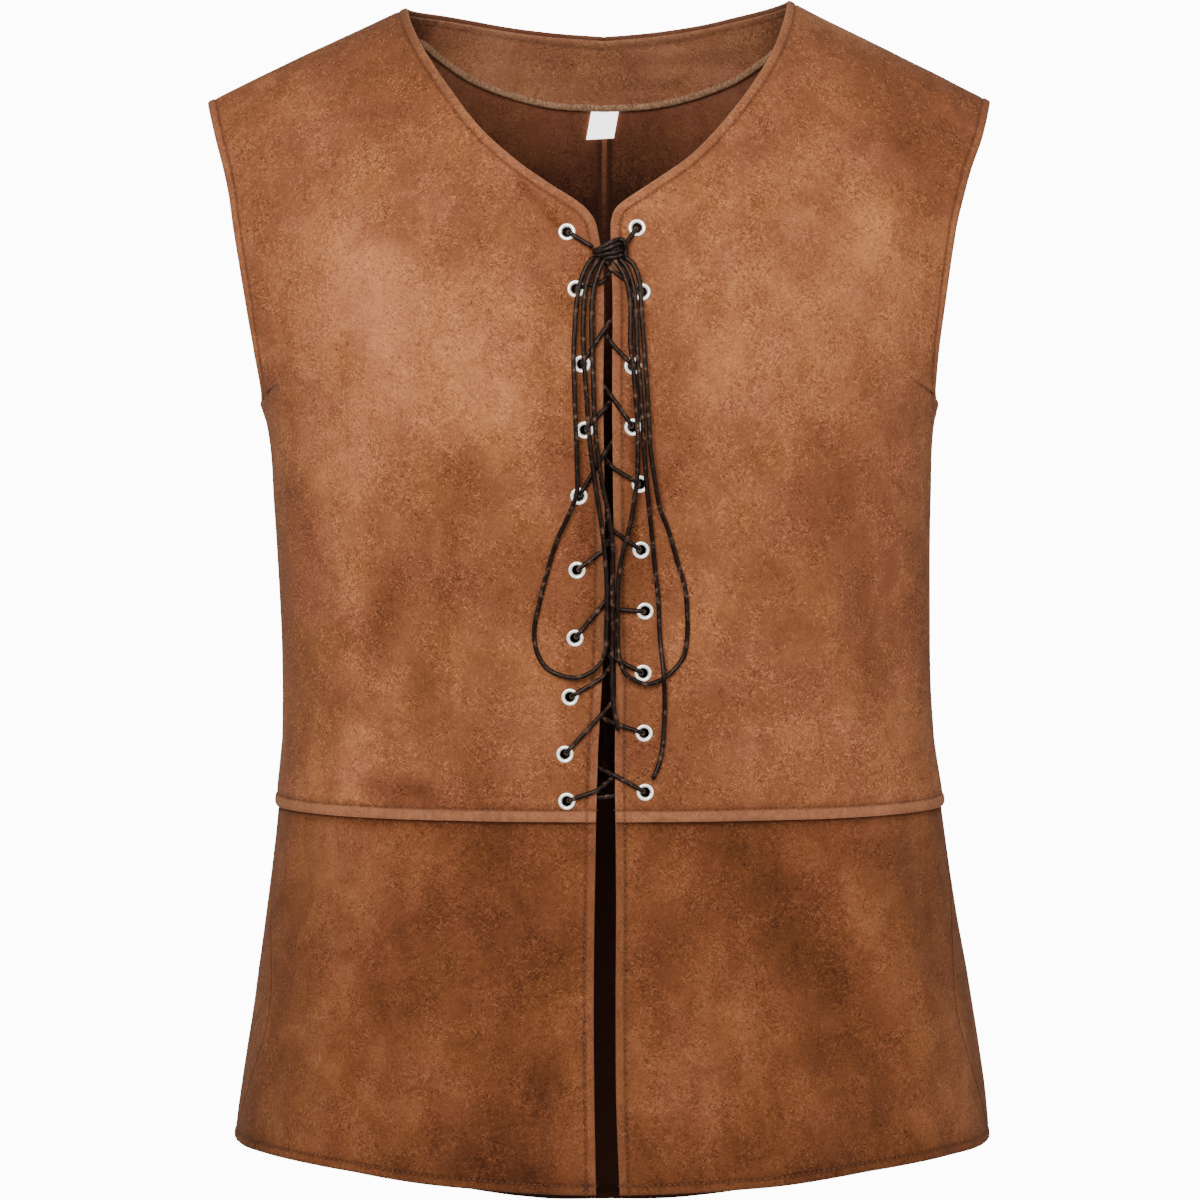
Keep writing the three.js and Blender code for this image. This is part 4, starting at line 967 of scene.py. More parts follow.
# broad lighter and darker areas, mostly painted light and painted shade: a painted highlight on the
# chest, painted shade in folds, beside the laces and along the hem, with some nap tone
SHADE_AND_NAP_TONES = table(
    "front x1 z1 x2 z2 wide high",
    (1, -150, -170, -90, -215, 120, 0.3),
    (1, 150, -170, 90, -215, 120, 0.26),
    (1, -205, -60, -120, -20, 90, -0.1),
    (1, 205, -60, 120, -20, 90, -0.05),
    (1, -84, -290, -130, -372, 36, -0.14),
    (1, -126, -352, -145, -430, 22, -0.24),
    (1, -160, -425, -166, -478, 14, -0.18),
    (1, -140, -412, -150, -477, 34, 0.14),
    (1, -138, -478, -104, -482, 16, -0.28),
    (1, 134, -276, 162, -418, 36, -0.18),
    (1, 141, -345, 149, -436, 26, 0.12),
    (1, -196, -300, -192, -470, 34, -0.09),
    (1, 198, -280, 200, -470, 30, 0.02),
    (1, -112, -330, -100, -470, 90, -0.09),
    (1, 112, -330, 100, -470, 90, -0.08),
    (1, 17.6, -186, 18.2, -330, 4.5, -0.3),
    (1, -14, -200, -13, -330, 4.5, -0.2),
    (1, -50, -118, -27, -145, 7, -0.28),
    (1, -162, -524, -160, -601, 60, 0.14),
    (1, -112, -690, -42, -701, 34, -0.26),
    (1, -100, -260, -60, -330, 60, -0.05),
    (1, -232, -700, -120, -703, 14, -0.16),
    (1, -120, -703, 0, -709, 14, -0.14),
    (1, 0, -709, 120, -703, 14, -0.14),
    (1, 120, -703, 236, -700, 14, -0.16),
    (1, -32, -571, -34, -648, 50, -0.16),
    (1, -26, -630, -79, -690, 34, -0.14),
    (1, 86, -507, 163, -636, 44, -0.2),
    (1, 27, -580, 30, -620, 36, -0.14),
    (1, 57, -542, 116, -660, 40, 0.12),
    (1, 151, -542, 186, -630, 36, 0.12),
    (1, -205, -571, -216, -690, 46, -0.02),
    (1, 212, -571, 226, -690, 46, 0.06),
    (1, 112, -530, 122, -680, 90, -0.09),
    (1, -8, -175, -10, -470, 46, -0.16),
    (1, 14, -175, 18, -470, 54, -0.18),
    (1, -36, -190, -34, -300, 16, -0.1),
    (1, 40, -190, 44, -300, 18, -0.1),
    (1, -128, -395, -160, -470, 40, 0.1),
    (0, -150, -180, 150, -180, 120, 0.16),
    (0, -70, -330, -150, -420, 44, -0.26),
    (0, 64, -345, 140, -440, 46, -0.24),
    (0, -84, -520, -88, -700, 44, -0.28),
    (0, 80, -520, 90, -700, 44, -0.26),
    (0, -150, -530, -170, -700, 40, 0.18),
    (0, 148, -530, 172, -700, 40, 0.18),
)


# steps by which a row's length is measured, and the flattest slant of its ends that counts
FINE_STEPS, LEAST_SLANT = 241, 0.55


def lay_columns(place, near, far, middle, corner=None):
    """Shares along each row: set distances from its two edges, and even steps between."""
    fine = np.linspace(0, 1, FINE_STEPS)
    points = place(fine[None, :])
    run = np.linalg.norm(np.diff(points, axis=1), axis=2)
    run = np.concatenate([np.zeros((len(run), 1)), np.cumsum(run, axis=1)], axis=1)

    def slant(edge, inside):
        up = unit(np.gradient(points[:, edge], axis=0))
        row = unit(points[:, inside] - points[:, edge])
        return np.maximum(np.linalg.norm(np.cross(up, row), axis=1), LEAST_SLANT)

    made = []
    for lengths, a, b in zip(run, slant(0, 2), slant(-1, -3)):
        low, high = np.array(near) / a, lengths[-1] - np.array(far)[::-1] / b
        stops = [low[-1], high[0]]
        if corner is not None:
            stops.insert(1, np.interp(corner, fine, lengths))
        parts = [low]
        for start, end, count in zip(stops, stops[1:], middle):
            parts.append(np.linspace(start, end, count + 1)[1:-1])
            parts.append([end])
        marks = np.concatenate([*parts[:-1], high])
        made.append(np.interp(marks, lengths, fine))
    return np.array(made)


def distance_to(line, points):
    """Distance from each place to a line of straight pieces."""
    flat = points.reshape(-1, 3)
    best = np.full(len(flat), 1e9)
    for start, run in zip(line[:-1], np.diff(line, axis=0)):
        t = np.clip((flat - start) @ run / max(run @ run, 1e-9), 0, 1)
        best = np.minimum(best, np.linalg.norm(flat - start - t[:, None] * run, axis=1))
    return best.reshape(points.shape[:-1])


# along a folded hem: how far the fold, its puckers, the groove of the stitches and the turned
# edge inside stand off the cloth, and how far fold and stitches change the nap, partly with painted
# highlight and painted shade
HEM = {"fold": 0.38, "pucker": 0.14, "groove": 0.5, "inside": 0.7, "rubbed_and_lit": 0.3, "pressed_and_shaded": 0.85}
# the same along a plain seam
SEAM = {"swell": 0.2, "groove": 0.5, "inside": 0.7, "rubbed_and_lit": 0.2, "pressed_and_shaded": 0.7}
# the share of rubbing above which an edge has no painted shade line left
RUB_WITHOUT_EDGE_SHADE = 0.75


def sew(grid, hems, seams):
    """How far the faces stand off the cloth's middle, and where the nap is rubbed and lit and where it
    is pressed and shaded: partly wear, partly painted highlight and painted shade.

    A hem is (line, width of its fold, how rubbed and lit its edge is)."""
    outer = np.full(grid.shape[:2], SUEDE / 2)
    inner = outer.copy()
    rubbed_and_lit, pressed_and_shaded = np.zeros_like(outer), np.zeros_like(outer)
    pucker = ripple(grid, 6.5, 11)
    patchy = smooth(ripple(grid, (9, 9, 30), 13), -0.5, 0.4)
    for line, width, rub_and_light in hems:
        d = distance_to(line, grid) * STITCH_INSET / width
        turned = smooth(d, 0.2, 1.5) * (1 - smooth(d, 4.4, 5.5))
        fold = HEM["fold"] * (width / STITCH_INSET) ** 2
        outer += (fold + HEM["pucker"] * pucker) * turned - HEM["groove"] * bell(d, STITCH_INSET, 0.75)
        outer += HEM["pucker"] * pucker * (1 - smooth(d, 6, 13)) * smooth(d, 5.8, 7)
        inner += HEM["inside"] * (1 - smooth(d, 6.8, 7.8))
        ease = mix(0.35, 1, smooth(d, -0.2, 1.0))
        outer, inner = outer * ease, inner * ease
        rubbed_and_lit = np.maximum(rubbed_and_lit, rub_and_light * (bell(d, 0, 0.9) + HEM["rubbed_and_lit"] * turned))
        pressed_and_shaded = np.maximum(pressed_and_shaded, HEM["pressed_and_shaded"] * bell(d, STITCH_INSET, 0.7))
        # a painted shade line along the edge, where the fold rolls away
        edge_shade = (RUB_WITHOUT_EDGE_SHADE - rub_and_light) * bell(d, 0, 1.1) * mix(0.5, 1, patchy)
        pressed_and_shaded = np.maximum(pressed_and_shaded, edge_shade)
    for line in seams:
        d = distance_to(line, grid)
        outer += SEAM["swell"] * bell(d, 3, 2) - SEAM["groove"] * bell(d, 0, 1.0)
        inner += SEAM["inside"] * (1 - smooth(d, 8, 9))
        pressed_and_shaded = np.maximum(pressed_and_shaded, SEAM["pressed_and_shaded"] * bell(d, 0, 0.8))
        rubbed_and_lit = np.maximum(rubbed_and_lit, SEAM["rubbed_and_lit"] * bell(d, 2.2, 1.2))
    return outer, inner, rubbed_and_lit, pressed_and_shaded


def sewn_shell(node, grid, out, faces, shade_and_tone, material, open_cells=None):
    """The closed cloth of one panel from what sew gives, and the places of its outer face."""
    outer, inner, rubbed_and_lit, pressed_and_shaded = faces
    places, behind = grid + out * outer[..., None], grid - out * inner[..., None]
    values = {"rubbed_and_lit": rubbed_and_lit, "pressed_and_shaded": pressed_and_shaded, "shade_and_tone": shade_and_tone}
    piece = shell(node + "_suede", places, behind, material, open_cells, values, SHADED_FLESH_SIDE)
    return piece, places


def shade_and_nap_tones_at(grid, on_front_face):
    """The nap's tone in its broad lighter and darker areas: mostly painted light and painted shade, with
    a little random nap tone.
    """
    shade_and_tone = folds_at(SHADE_AND_NAP_TONES, on_front_face, grid[..., 0], grid[..., 2])
    return shade_and_tone + 0.05 * ripple(grid, (60, 60, 90), 21)


STITCH_LINES = {"tan_suede": [], "brown_suede": []}


def note_stitches(slot_name, places, outs):
    """Keeps a line along which the topstitching runs."""
    STITCH_LINES[slot_name].append((places + 0.06 * outs, outs))


def inset_line(line, places, outs):
    """Along each column of a grid, the place that is the stitch inset away from a line."""
    off = distance_to(line, places)
    rows = np.array([np.interp(STITCH_INSET, column, np.arange(len(column))) for column in off.T])
    low = np.minimum(rows.astype(int), len(places) - 2)
    share, columns = (rows - low)[:, None], np.arange(places.shape[1])
    at, out = (mix(a[low, columns], a[low + 1, columns], share) for a in (places, outs))
    return at, unit(out)


def finish_cloth(piece, node, slot_name):
    """Lets a sheet ride the only body and stand for its node."""
    belongs(piece, slot_name, node)


def mid_area(grid):
    """The area of a grid of places, in square metres."""
    a = np.cross(grid[1:, :-1] - grid[:-1, :-1], grid[1:, 1:] - grid[:-1, :-1])
    b = np.cross(grid[1:, 1:] - grid[:-1, :-1], grid[:-1, 1:] - grid[:-1, :-1])
    return (np.linalg.norm(a, axis=2).sum() + np.linalg.norm(b, axis=2).sum()) / 2 * MM * MM


# ---------- bodice ----------
BODICE_ROWS = table(
    "inner outer",
    (0, SHOULDER_TIP_Z),
    (-1.5, SHOULDER_TIP_Z - 1.5),
    (-4, SHOULDER_TIP_Z - 4),
    (-14, -73),
    (-31, -90),
    (-50, -109),
    (-70, -127),
    (-90, -145),
    (-107, -163),
    (-120, -181),
    (-130, -199),
    (-138, -217),
    (-150, -233),
    (-172, -245),
    (-198, UNDERARM_Z),
    (-230, -276),
    (-266, -304),
    (-306, -337),
    (-348, -373),
    (-390, -408),
    (-430, -437),
    (WAIST_Z + WAIST_LAP + LAP_EASE, WAIST_Z + WAIST_LAP + LAP_EASE),
    (WAIST_Z + WAIST_LAP, WAIST_Z + WAIST_LAP),
    (WAIST_Z, WAIST_Z),
)
BODICE_ROW_STEP = 3.4
# distances above the bodice's lower edge, and the width of its folded band
WAIST_MARKS = [0, 0.5, 1.2, 2.4, 3.8, 4.9, 5.6, 6.3, 7.2, WAIST_LAP]
WAIST_INSET = 7.2
# row numbers at the seam marks, where the shoulder is so round that height falls slowly
SHOULDER_ROWS = [0, 0.0085, 0.036, 0.116, 0.27, 0.53, 1, 1.45]


def fine_rows():
    """Row numbers with fractions, closer together at the shoulder and at the waist fold."""
    last = len(BODICE_ROWS["inner"]) - 1
    numbers = list(SHOULDER_ROWS)
    below = np.minimum(-BODICE_ROWS["inner"] / ROUNDING["depth"], 1)
    depths = SECTIONS["front"][1] * (1 - (1 - below) ** 2) ** ROUNDING["power"]
    runs = np.hypot(np.diff(BODICE_ROWS["inner"]), np.diff(depths))
    runs = np.maximum(runs, -np.diff(BODICE_ROWS["outer"]))
    for r in range(2, last - 1):
        count = max(int(round(runs[r] / BODICE_ROW_STEP)), 1)
        numbers += list(np.linspace(r, r + 1, count, endpoint=False))
    numbers += [last - d / WAIST_LAP for d in WAIST_MARKS[::-1]]
    return np.array(numbers), last


def back_neck_z(side, x):
    """Height of the back neckline at a distance from the centre."""
    neck = NECK_X[SIDES[side]]
    rows = table("x z", *BACK_NECK, (neck, 0))
    return between(rows, "z", x, by="x") + NECK_Z[SIDES[side]] * (x / neck) ** 2


# the share of a back panel's width under the neckline
NECK_SHARE = 5 / 12


def bodice_panel(side, front):
    """The grid of one bodice panel, as (places, ways out)."""
    sign = SIDES[side]
    numbers, last = fine_rows()
    whole = np.arange(last + 1)
    inner = np.interp(numbers, whole, BODICE_ROWS["inner"])[:, None]
    outer = np.interp(numbers, whole, BODICE_ROWS["outer"])[:, None]
    keep = (1 - numbers[:, None] / last) ** 2
    neck, tip = NECK_X[sign], SHOULDER_TIP_X[sign]

    def inner_turn(z):
        if front:
            return turn_of(sign, sign * between(FRONT_EDGE, side, z), z)
        return math.pi + 0 * z

    def outer_turn(z):
        edge = turn_of(sign, sign * between(ARMHOLE, side, z), z, front)
        return np.where(z <= UNDERARM_Z, math.pi / 2, edge)

    def top(u):
        if front:
            x = mix(neck, tip, u)
            z = ridge_z(sign, x)
        else:
            on_neck = u <= NECK_SHARE
            past_neck = (u - NECK_SHARE) / (1 - NECK_SHARE)
            x = np.where(on_neck, neck * u / NECK_SHARE, mix(neck, tip, past_neck))
            z = np.where(on_neck, back_neck_z(side, x), ridge_z(sign, x))
        return turn_of(sign, sign * x, z, front), z

    def turns(u):
        top_turn, top_z = top(u)
        first = mix(inner_turn(inner[0]), outer_turn(outer[0]), u)
        turn = mix(inner_turn(inner), outer_turn(outer), u) + keep * (top_turn - first)
        z = mix(inner, outer, u) + keep * (top_z - mix(inner[0], outer[0], u))
        return turn, z

    def place(u):
        return smooth_place(sign, *turns(u))

    if front:
        u = lay_columns(place, LACED_MARKS, EDGE_MARKS, (44,))
    else:
        u = lay_columns(place, SEAM_MARKS, EDGE_MARKS, (20, 22), corner=NECK_SHARE)
    turn, z = turns(u)
    at, out = cloth(sign, turn, z)
    if not front:
        out[:, 0, 0] = 0
        out = unit(out)
    return at + out * lap_step(z)[..., None], out, numbers


# the number of the row in BODICE_ROWS that ends at the underarm
UNDERARM_ROW = 14
# the share of a hole's radius within which a cell's middle leaves the cell open
OPEN_SHARE = 0.92


def open_eyelet_holes(grid, side):
    """Cells inside each eyelet hole, and the grid with the cells' corners drawn on to the hole."""
    open_cells = np.zeros((grid.shape[0] - 1, grid.shape[1] - 1), bool)
    moved = grid.copy()
    middles = (grid[:-1, :-1] + grid[1:, :-1] + grid[1:, 1:] + grid[:-1, 1:]) / 4
    for x, z in zip(EYELETS[side]["x"], EYELETS[side]["z"]):
        centre = on_front(x, z, 0)
        axis = unit(on_front(x, z, 1) - centre)

        def off_axis(points):
            away = points - centre
            return away - (away @ axis)[..., None] * axis

        radius = np.linalg.norm(off_axis(middles), axis=-1)
        inside = radius < max(HOLE_R * OPEN_SHARE, radius.min() + 0.01)
        open_cells |= inside
        corners = np.zeros(grid.shape[:2], bool)
        for dr in (0, 1):
            for dc in (0, 1):
                corners[dr : dr + inside.shape[0], dc : dc + inside.shape[1]] |= inside
        away = off_axis(grid[corners])
        length = np.linalg.norm(away, axis=1, keepdims=True)
        moved[corners] = grid[corners] + away * (HOLE_R / np.maximum(length, 0.3) - 1)
    return open_cells, moved


def bodice_node(side, front):
    return f"bodice_{'front' if front else 'back'}_{side}"


def bodice_piece(side, front):
    """Sews a bodice panel, and gives its object and its area."""
    grid, out, numbers = bodice_panel(side, front)
    underarm = int(np.argmin(np.abs(numbers - UNDERARM_ROW)))
    corner = int(np.argmin(np.abs(grid[0, :, 0] - SIDES[side] * NECK_X[SIDES[side]])))
    armhole, side_seam = grid[: underarm + 1, -1], grid[underarm:, -1]
    if front:
        edge, seams = grid[:, 0], [grid[0], side_seam]
    else:
        edge, seams = grid[0, : corner + 1], [grid[0, corner:], side_seam, grid[:, 0]]
    hems = [(edge, STITCH_INSET, 0.75), (armhole, STITCH_INSET, 0.75), (grid[-1], WAIST_INSET, 0.8)]
    outer, inner, rubbed_and_lit, pressed_and_shaded = sew(grid, hems, seams)
    # the folded waist band goes lighter: partly rubbed nap, partly painted highlight on the raised band
    lit_waist_band = smooth(-grid[..., 2], -WAIST_Z - WAIST_INSET, -WAIST_Z - WAIST_INSET + 1.2)
    rubbed_and_lit = np.maximum(rubbed_and_lit, 0.6 * lit_waist_band)
    shade_and_tone = shade_and_nap_tones_at(grid, front)
    area = mid_area(grid)
    open_cells = None
    if front:
        open_cells, grid = open_eyelet_holes(grid, side)
    faces = (outer, inner, rubbed_and_lit, pressed_and_shaded)
    node = bodice_node(side, front)
    piece, places = sewn_shell(node, grid, out, faces, shade_and_tone, TAN_SUEDE, open_cells)
    waist_row = len(grid) - 1 - WAIST_MARKS.index(WAIST_INSET)
    armhole_column = grid.shape[1] - 1 - EDGE_MARKS.index(STITCH_INSET)
    note_stitches("tan_suede", places[waist_row], out[waist_row])
    around = slice(2, underarm - 1)
    note_stitches("tan_suede", places[around, armhole_column], out[around, armhole_column])
    if front:
        column = LACED_MARKS.index(STITCH_INSET)
        note_stitches("tan_suede", places[:, column], out[:, column])
    else:
        part = (slice(0, 14), slice(0, corner - 1))
        note_stitches("tan_suede", *inset_line(edge, places[part], out[part]))
    return piece, area


for side in SIDES:
    for front in (True, False):
        piece, area = bodice_piece(side, front)
        finish_cloth(piece, bodice_node(side, front), "tan_suede")

# ---------- skirt ----------
SKIRT_EVEN_ROWS = 64


def hem_z(turn):
    """The hem dips at the front centre and far more at the back, and rises a little in between."""
    dip = np.where(np.cos(turn) > 0, HEM_DIP["front"], HEM_DIP["back"])
    return HEM_SIDE_Z - dip * np.cos(turn) ** 2 + HEM_RISE * np.sin(2 * turn) ** 2


def skirt_z(hem):
    """Heights of a panel's rows: even steps down from the waist, then the marks above the hem."""
    above = np.array([EDGE_MARKS[-1]] * SKIRT_EVEN_ROWS + EDGE_MARKS[-2::-1])
    share = np.ones(len(above))
    share[:SKIRT_EVEN_ROWS] = np.linspace(0, 1, SKIRT_EVEN_ROWS)
    return mix(SKIRT_TOP_Z, hem + above[:, None], share[:, None])


def seam_turn(z):
    """The turn at which the skirt's side seam lies."""
    return np.radians(between(SKIRT_SEAM, "turn", z))


def skirt_panel(side):
    """A skirt panel's grid; side is None for the back, which runs from right to left."""
    far_z = skirt_z(hem_z(math.pi / 2))

    def turns(u):
        if side is None:
            across = 2 * u - 1
            sign = np.where(across < 0, -1, 1) + np.zeros_like(far_z, int)
            turn = mix(math.pi, seam_turn(far_z), np.abs(across))
        else:
            sign = SIDES[side]
            near_z = skirt_z(hem_z(0))
            near = turn_of(sign, sign * between(FRONT_EDGE, side, near_z), near_z)
            turn = mix(near, seam_turn(far_z), u)
        return sign, turn, skirt_z(hem_z(turn))

    def place(u):
        return smooth_place(*turns(u))

    if side is None:
        u = lay_columns(place, SEAM_MARKS, SEAM_MARKS, (110,))
    else:
        u = lay_columns(place, EDGE_MARKS, SEAM_MARKS, (46,))
    at, out = cloth(*turns(u))
    return at, out


def skirt_node(side):
    return "skirt_back" if side is None else f"skirt_front_{side}"


def skirt_piece(side):
    """Sews a skirt panel, and gives its object and its area."""
    grid, out = skirt_panel(side)
    hems, seams = [(grid[-1], STITCH_INSET, 0.15)], [grid[:, -1]]
    if side is None:
        seams.append(grid[:, 0])
    else:
        hems.append((grid[:, 0], STITCH_INSET, 0.6))
    z = grid[..., 2]
    shade_and_tone = shade_and_nap_tones_at(grid, grid[..., 1] < 0)
    # painted shadow on the skirt's top, under the bodice's lapped edge
    shade_and_tone = shade_and_tone - 0.2 * smooth(z, WAIST_Z - 9, WAIST_Z + 1) - 0.7 * smooth(z, WAIST_Z - 2.8, WAIST_Z)
    faces = sew(grid, hems, seams)
    piece, places = sewn_shell(skirt_node(side), grid, out, faces, shade_and_tone, BROWN_SUEDE)
    above_hem = slice(-1, -12, -1)
    note_stitches("brown_suede", *inset_line(grid[-1], places[above_hem], out[above_hem]))
    if side is not None:
        column = EDGE_MARKS.index(STITCH_INSET)
        note_stitches("brown_suede", places[2:, column], out[2:, column])
    return piece, mid_area(grid)


def on_skirt(x, z, lift):
    """A place on the front of the skirt, at a height over its face."""
    sign = np.where(x < 0, -1, 1)
    at, out = cloth(sign, turn_of(sign, x, z), z)
    return at + out * (SUEDE / 2 + lift)


# flat sizes of the pattern pieces, in metres
SKIRT_CUT = {"right": (0.27, 0.24), "left": (0.27, 0.24), None: (0.86, 0.31)}
for side, cut in SKIRT_CUT.items():
    piece, area = skirt_piece(side)
    finish_cloth(piece, skirt_node(side), "brown_suede")


# ---------- inside the back neck ----------
def inside_back(x, z, inset):
    """A place inside the back, at a depth from the cloth's middle, and the way into the vest."""
    sign = np.where(x < 0, -1, 1)
    at, out = cloth(sign, turn_of(sign, x, z, False), z)
    inset = np.broadcast_to(inset, at.shape[:-1])
    return at - out * inset[..., None], -out


# the facing's depth from the back's middle, and its drop below the neckline
FACING_INSET = 2.5
FACING_DROP = 1.5
FACING_THICKNESS = 0.9


def facing_grid(columns=97, rows=20):
    """Places of the facing as x and z, from the neckline down to its bound edge."""
    across = np.sin(np.linspace(-math.pi / 2, math.pi / 2, columns))[None, :]
    down = np.linspace(0, 1, rows)[:, None]
    x_all, z_all = np.zeros((rows, columns)), np.zeros((rows, columns))
    for side, sign in SIDES.items():
        reach = NECK_X[sign]
        low_reach = reach + FACING_ON_SHOULDER
        low = table("x z", *FACING_EDGE, (low_reach, ridge_z(sign, low_reach) - FACING_DROP))
        mine = across * sign >= 0
        x = mix(reach, low_reach, down) * across
        top = back_neck_z(side, np.abs(reach * across)) - FACING_DROP
        low_z = between(low, "z", np.abs(low_reach * across), by="x")
        z = np.minimum(mix(top, low_z, down), ridge_z(sign, x) - FACING_DROP)
        x_all, z_all = np.where(mine, x, x_all), np.where(mine, z, z_all)
    return x_all, z_all


facing_x, facing_z = facing_grid()
facing_at, facing_in = inside_back(facing_x, facing_z, FACING_INSET)
facing_top, facing_low = facing_at[0], facing_at[-1]
from_top = distance_to(facing_top, facing_at)
puff = 0.45 * ripple(facing_at, (38, 30, 7), 31) + 0.3 * ripple(facing_at, (24, 24, 4), 32)
puff = puff * smooth(from_top, 5, 12)
groove = bell(from_top, 4.6, 0.9)
# painted light on the puffed wrinkles and painted shade towards both ends
facing_light_and_shade = 0.22 * puff - 0.6 * smooth(np.abs(facing_at[..., 0]), 92, 124) + 0.04
facing = shell(
    "back_neck_facing_suede",
    facing_at + facing_in * (FACING_THICKNESS / 2 + puff - 0.3 * groove)[..., None],
    facing_at - facing_in * FACING_THICKNESS / 2,
    FACING_SUEDE,
    None,
    {"rubbed_and_lit": 0.4 * bell(from_top, 0, 1.2), "pressed_and_shaded": 0.6 * groove, "shade_and_tone": facing_light_and_shade},
)
finish_cloth(facing, "back_neck_facing", "facing_suede")


def ribbon(name, path, way_up, half_wide, half_high, material, sides=10):
    """A low rounded strip along a path, with its flat side on the cloth below it."""
    tangents = unit(np.gradient(path, axis=0))
    side_ways = unit(np.cross(tangents, way_up))
    ups = unit(np.cross(side_ways, tangents))
    turns = np.linspace(0, 2 * math.pi, sides, endpoint=False)
    ends = np.minimum(along(path), along(path)[-1] - along(path))
    ease = np.sqrt(np.clip(ends / half_wide, 0.05, 1))
    half_high = np.broadcast_to(half_high, len(path)) * ease
    rings = (
        path[:, None]
        + (ease * half_wide)[:, None, None] * np.cos(turns)[None, :, None] * side_ways[:, None]
        + half_high[:, None, None] * np.sin(turns)[None, :, None] * ups[:, None]
    )
    count = len(path)
    verts = [*rings.reshape(-1, 3), path[0], path[-1]]
    faces = []
    for k in range(sides):
        n = (k + 1) % sides
        for r in range(0, (count - 1) * sides, sides):
            faces.append((r + k, r + sides + k, r + sides + n, r + n))
        faces.append((k, n, count * sides))
        faces.append(((count - 1) * sides + n, (count - 1) * sides + k, count * sides + 1))
    first = np.array([verts[i] for i in faces[0]])
    if np.dot(np.cross(first[1] - first[0], first[2] - first[1]), first[0] - path[0]) < 0:
        faces = [f[::-1] for f in faces]
    return add_mesh(name, np.array(verts), faces, material)


BINDING = {"half_wide": 2.3, "half_high": 1.0}
binding_path = facing_low + facing_in[-1] * (FACING_THICKNESS / 2 + 0.1)
binding = ribbon("facing_binding", binding_path, facing_in[-1], **BINDING, material=OVERLOCK)
belongs(binding, "facing_suede")

# the pressed seam allowance inside the centre back, from under the label down to the waist
# the ridge takes the painted inner shade, lifted by a painted highlight on its raised top
ALLOWANCE_PAINTED_HIGHLIGHT = 0.42
ridge_zs = np.linspace(ALLOWANCE["top"], WAIST_Z + 12, 130)
ridge_half_high = mix(0.35, 1.3, smooth(-ridge_zs, 78, 86))
ridge_at, ridge_in = inside_back(ALLOWANCE["x"] + 0 * ridge_zs, ridge_zs, SUEDE / 2 + 0.5)
ridge_shape = (ridge_at, ridge_in, ALLOWANCE["half_wide"], ridge_half_high)
ridge = ribbon("back_seam_allowance", *ridge_shape, SHADED_FLESH_SIDE)
for key in ("rubbed_and_lit", "pressed_and_shaded"):
    set_point_values(ridge, key, np.zeros(len(ridge.data.vertices)))
ridge_places = np.array([vertex.co for vertex in ridge.data.vertices]) / MM
set_point_values(ridge, "shade_and_tone", ALLOWANCE_PAINTED_HIGHLIGHT + inner_painted_shade(ridge_places))
belongs(ridge, "facing_suede")

LABEL = {"wide": 18.0, "high": 18.5, "thick": 0.5, "inset": 2.1, "lean": -3.5, "x": 1.0}
label_down, label_across = np.meshgrid(np.linspace(0, 1, 14), np.linspace(-0.5, 0.5, 12), indexing="ij")
label_x = LABEL["x"] + label_across * LABEL["wide"] + label_down * LABEL["lean"]
label_z = FACING_EDGE[0][1] - 0.6 - label_down * LABEL["high"] + label_across
curl = 0.5 * label_down**2 + 0.25 * np.abs(label_across * 2) ** 3 * label_down
label_at, label_in = inside_back(label_x, label_z, LABEL["inset"] + 0.6 * curl)
label = shell(
    "neck_label_tape",
    label_at + label_in * LABEL["thick"] / 2,
    label_at - label_in * LABEL["thick"] / 2,
    LABEL_TAPE,
)
finish_cloth(label, "neck_label", "label_cloth")


# ---------- lace ----------
OTHER = {"right": "left", "left": "right"}
# the lace round a front edge: its room there, the radius of its bend, its shift inwards, its
# height over the hem, and the share of the way up to the next eyelet that it rises in the gap
EDGE_CLEAR = SUEDE / 2 + 0.2
EDGE_BEND_R = LACE_D / 2 + LACE_CLEAR
REAR_SHIFT = -0.2
OVER_HEM = 0.35
CROSS_RISE = 0.24
KNOT_REACH = KNOT["half"] + LACE_CLEAR + 0.6
# up through an eyelet from behind: distance from its middle, height, and which way
THROUGH_EYELET = [
    (4.6, -3.4, "before"),
    (2.6, -3.6, "before"),
    (1.2, -2.6, "before"),
    (0.85, -0.2, "middle"),
    (1.2, 1.9, "after"),
    (2.4, 3.5, "after"),
    (4.9, 3.35, "after"),
]


def eyelet_at(side, i):
    return np.array([EYELETS[side]["x"][i], EYELETS[side]["z"][i]])


def cross_gap(side, i):
    """From the front of one panel, through the gap, to the back of the other panel."""
    cross_z = EYELETS[side]["cross_z"][i]
    near, far = (SIDES[s] * between(FRONT_EDGE, s, cross_z) for s in (side, OTHER[side]))
    middle, half = (near + far) / 2, abs(far - near) / 2
    bend = math.atan2(EDGE_CLEAR, half) + math.asin(EDGE_BEND_R / math.hypot(half, EDGE_CLEAR))
    angles = bend * np.array([0, 0.5, 1])
    out = EDGE_BEND_R * np.sin(angles) - half
    lift = EDGE_CLEAR + EDGE_BEND_R * np.cos(angles)
    out, lift = np.concatenate([out, -out[::-1]]), np.concatenate([lift + OVER_HEM, -lift[::-1]])
    rise = CROSS_RISE * (EYELETS[OTHER[side]]["z"][i - 1] - EYELETS[side]["z"][i])
    x = middle + np.sign(far - near) * out
    return np.stack([x, cross_z + rise * out / (2 * half + 2), lift + REAR_SHIFT], -1)


def up_through(eyelet, before, after):
    """The lace's way through an eyelet, between the places before and after it."""
    aims = {"before": before, "middle": (before + after) / 2, "after": after}
    places = []
    for reach, lift, towards in THROUGH_EYELET:
        way = aims[towards][:2] - eyelet
        places.append([*(eyelet + way * reach / np.hypot(*way)), lift])
    return places


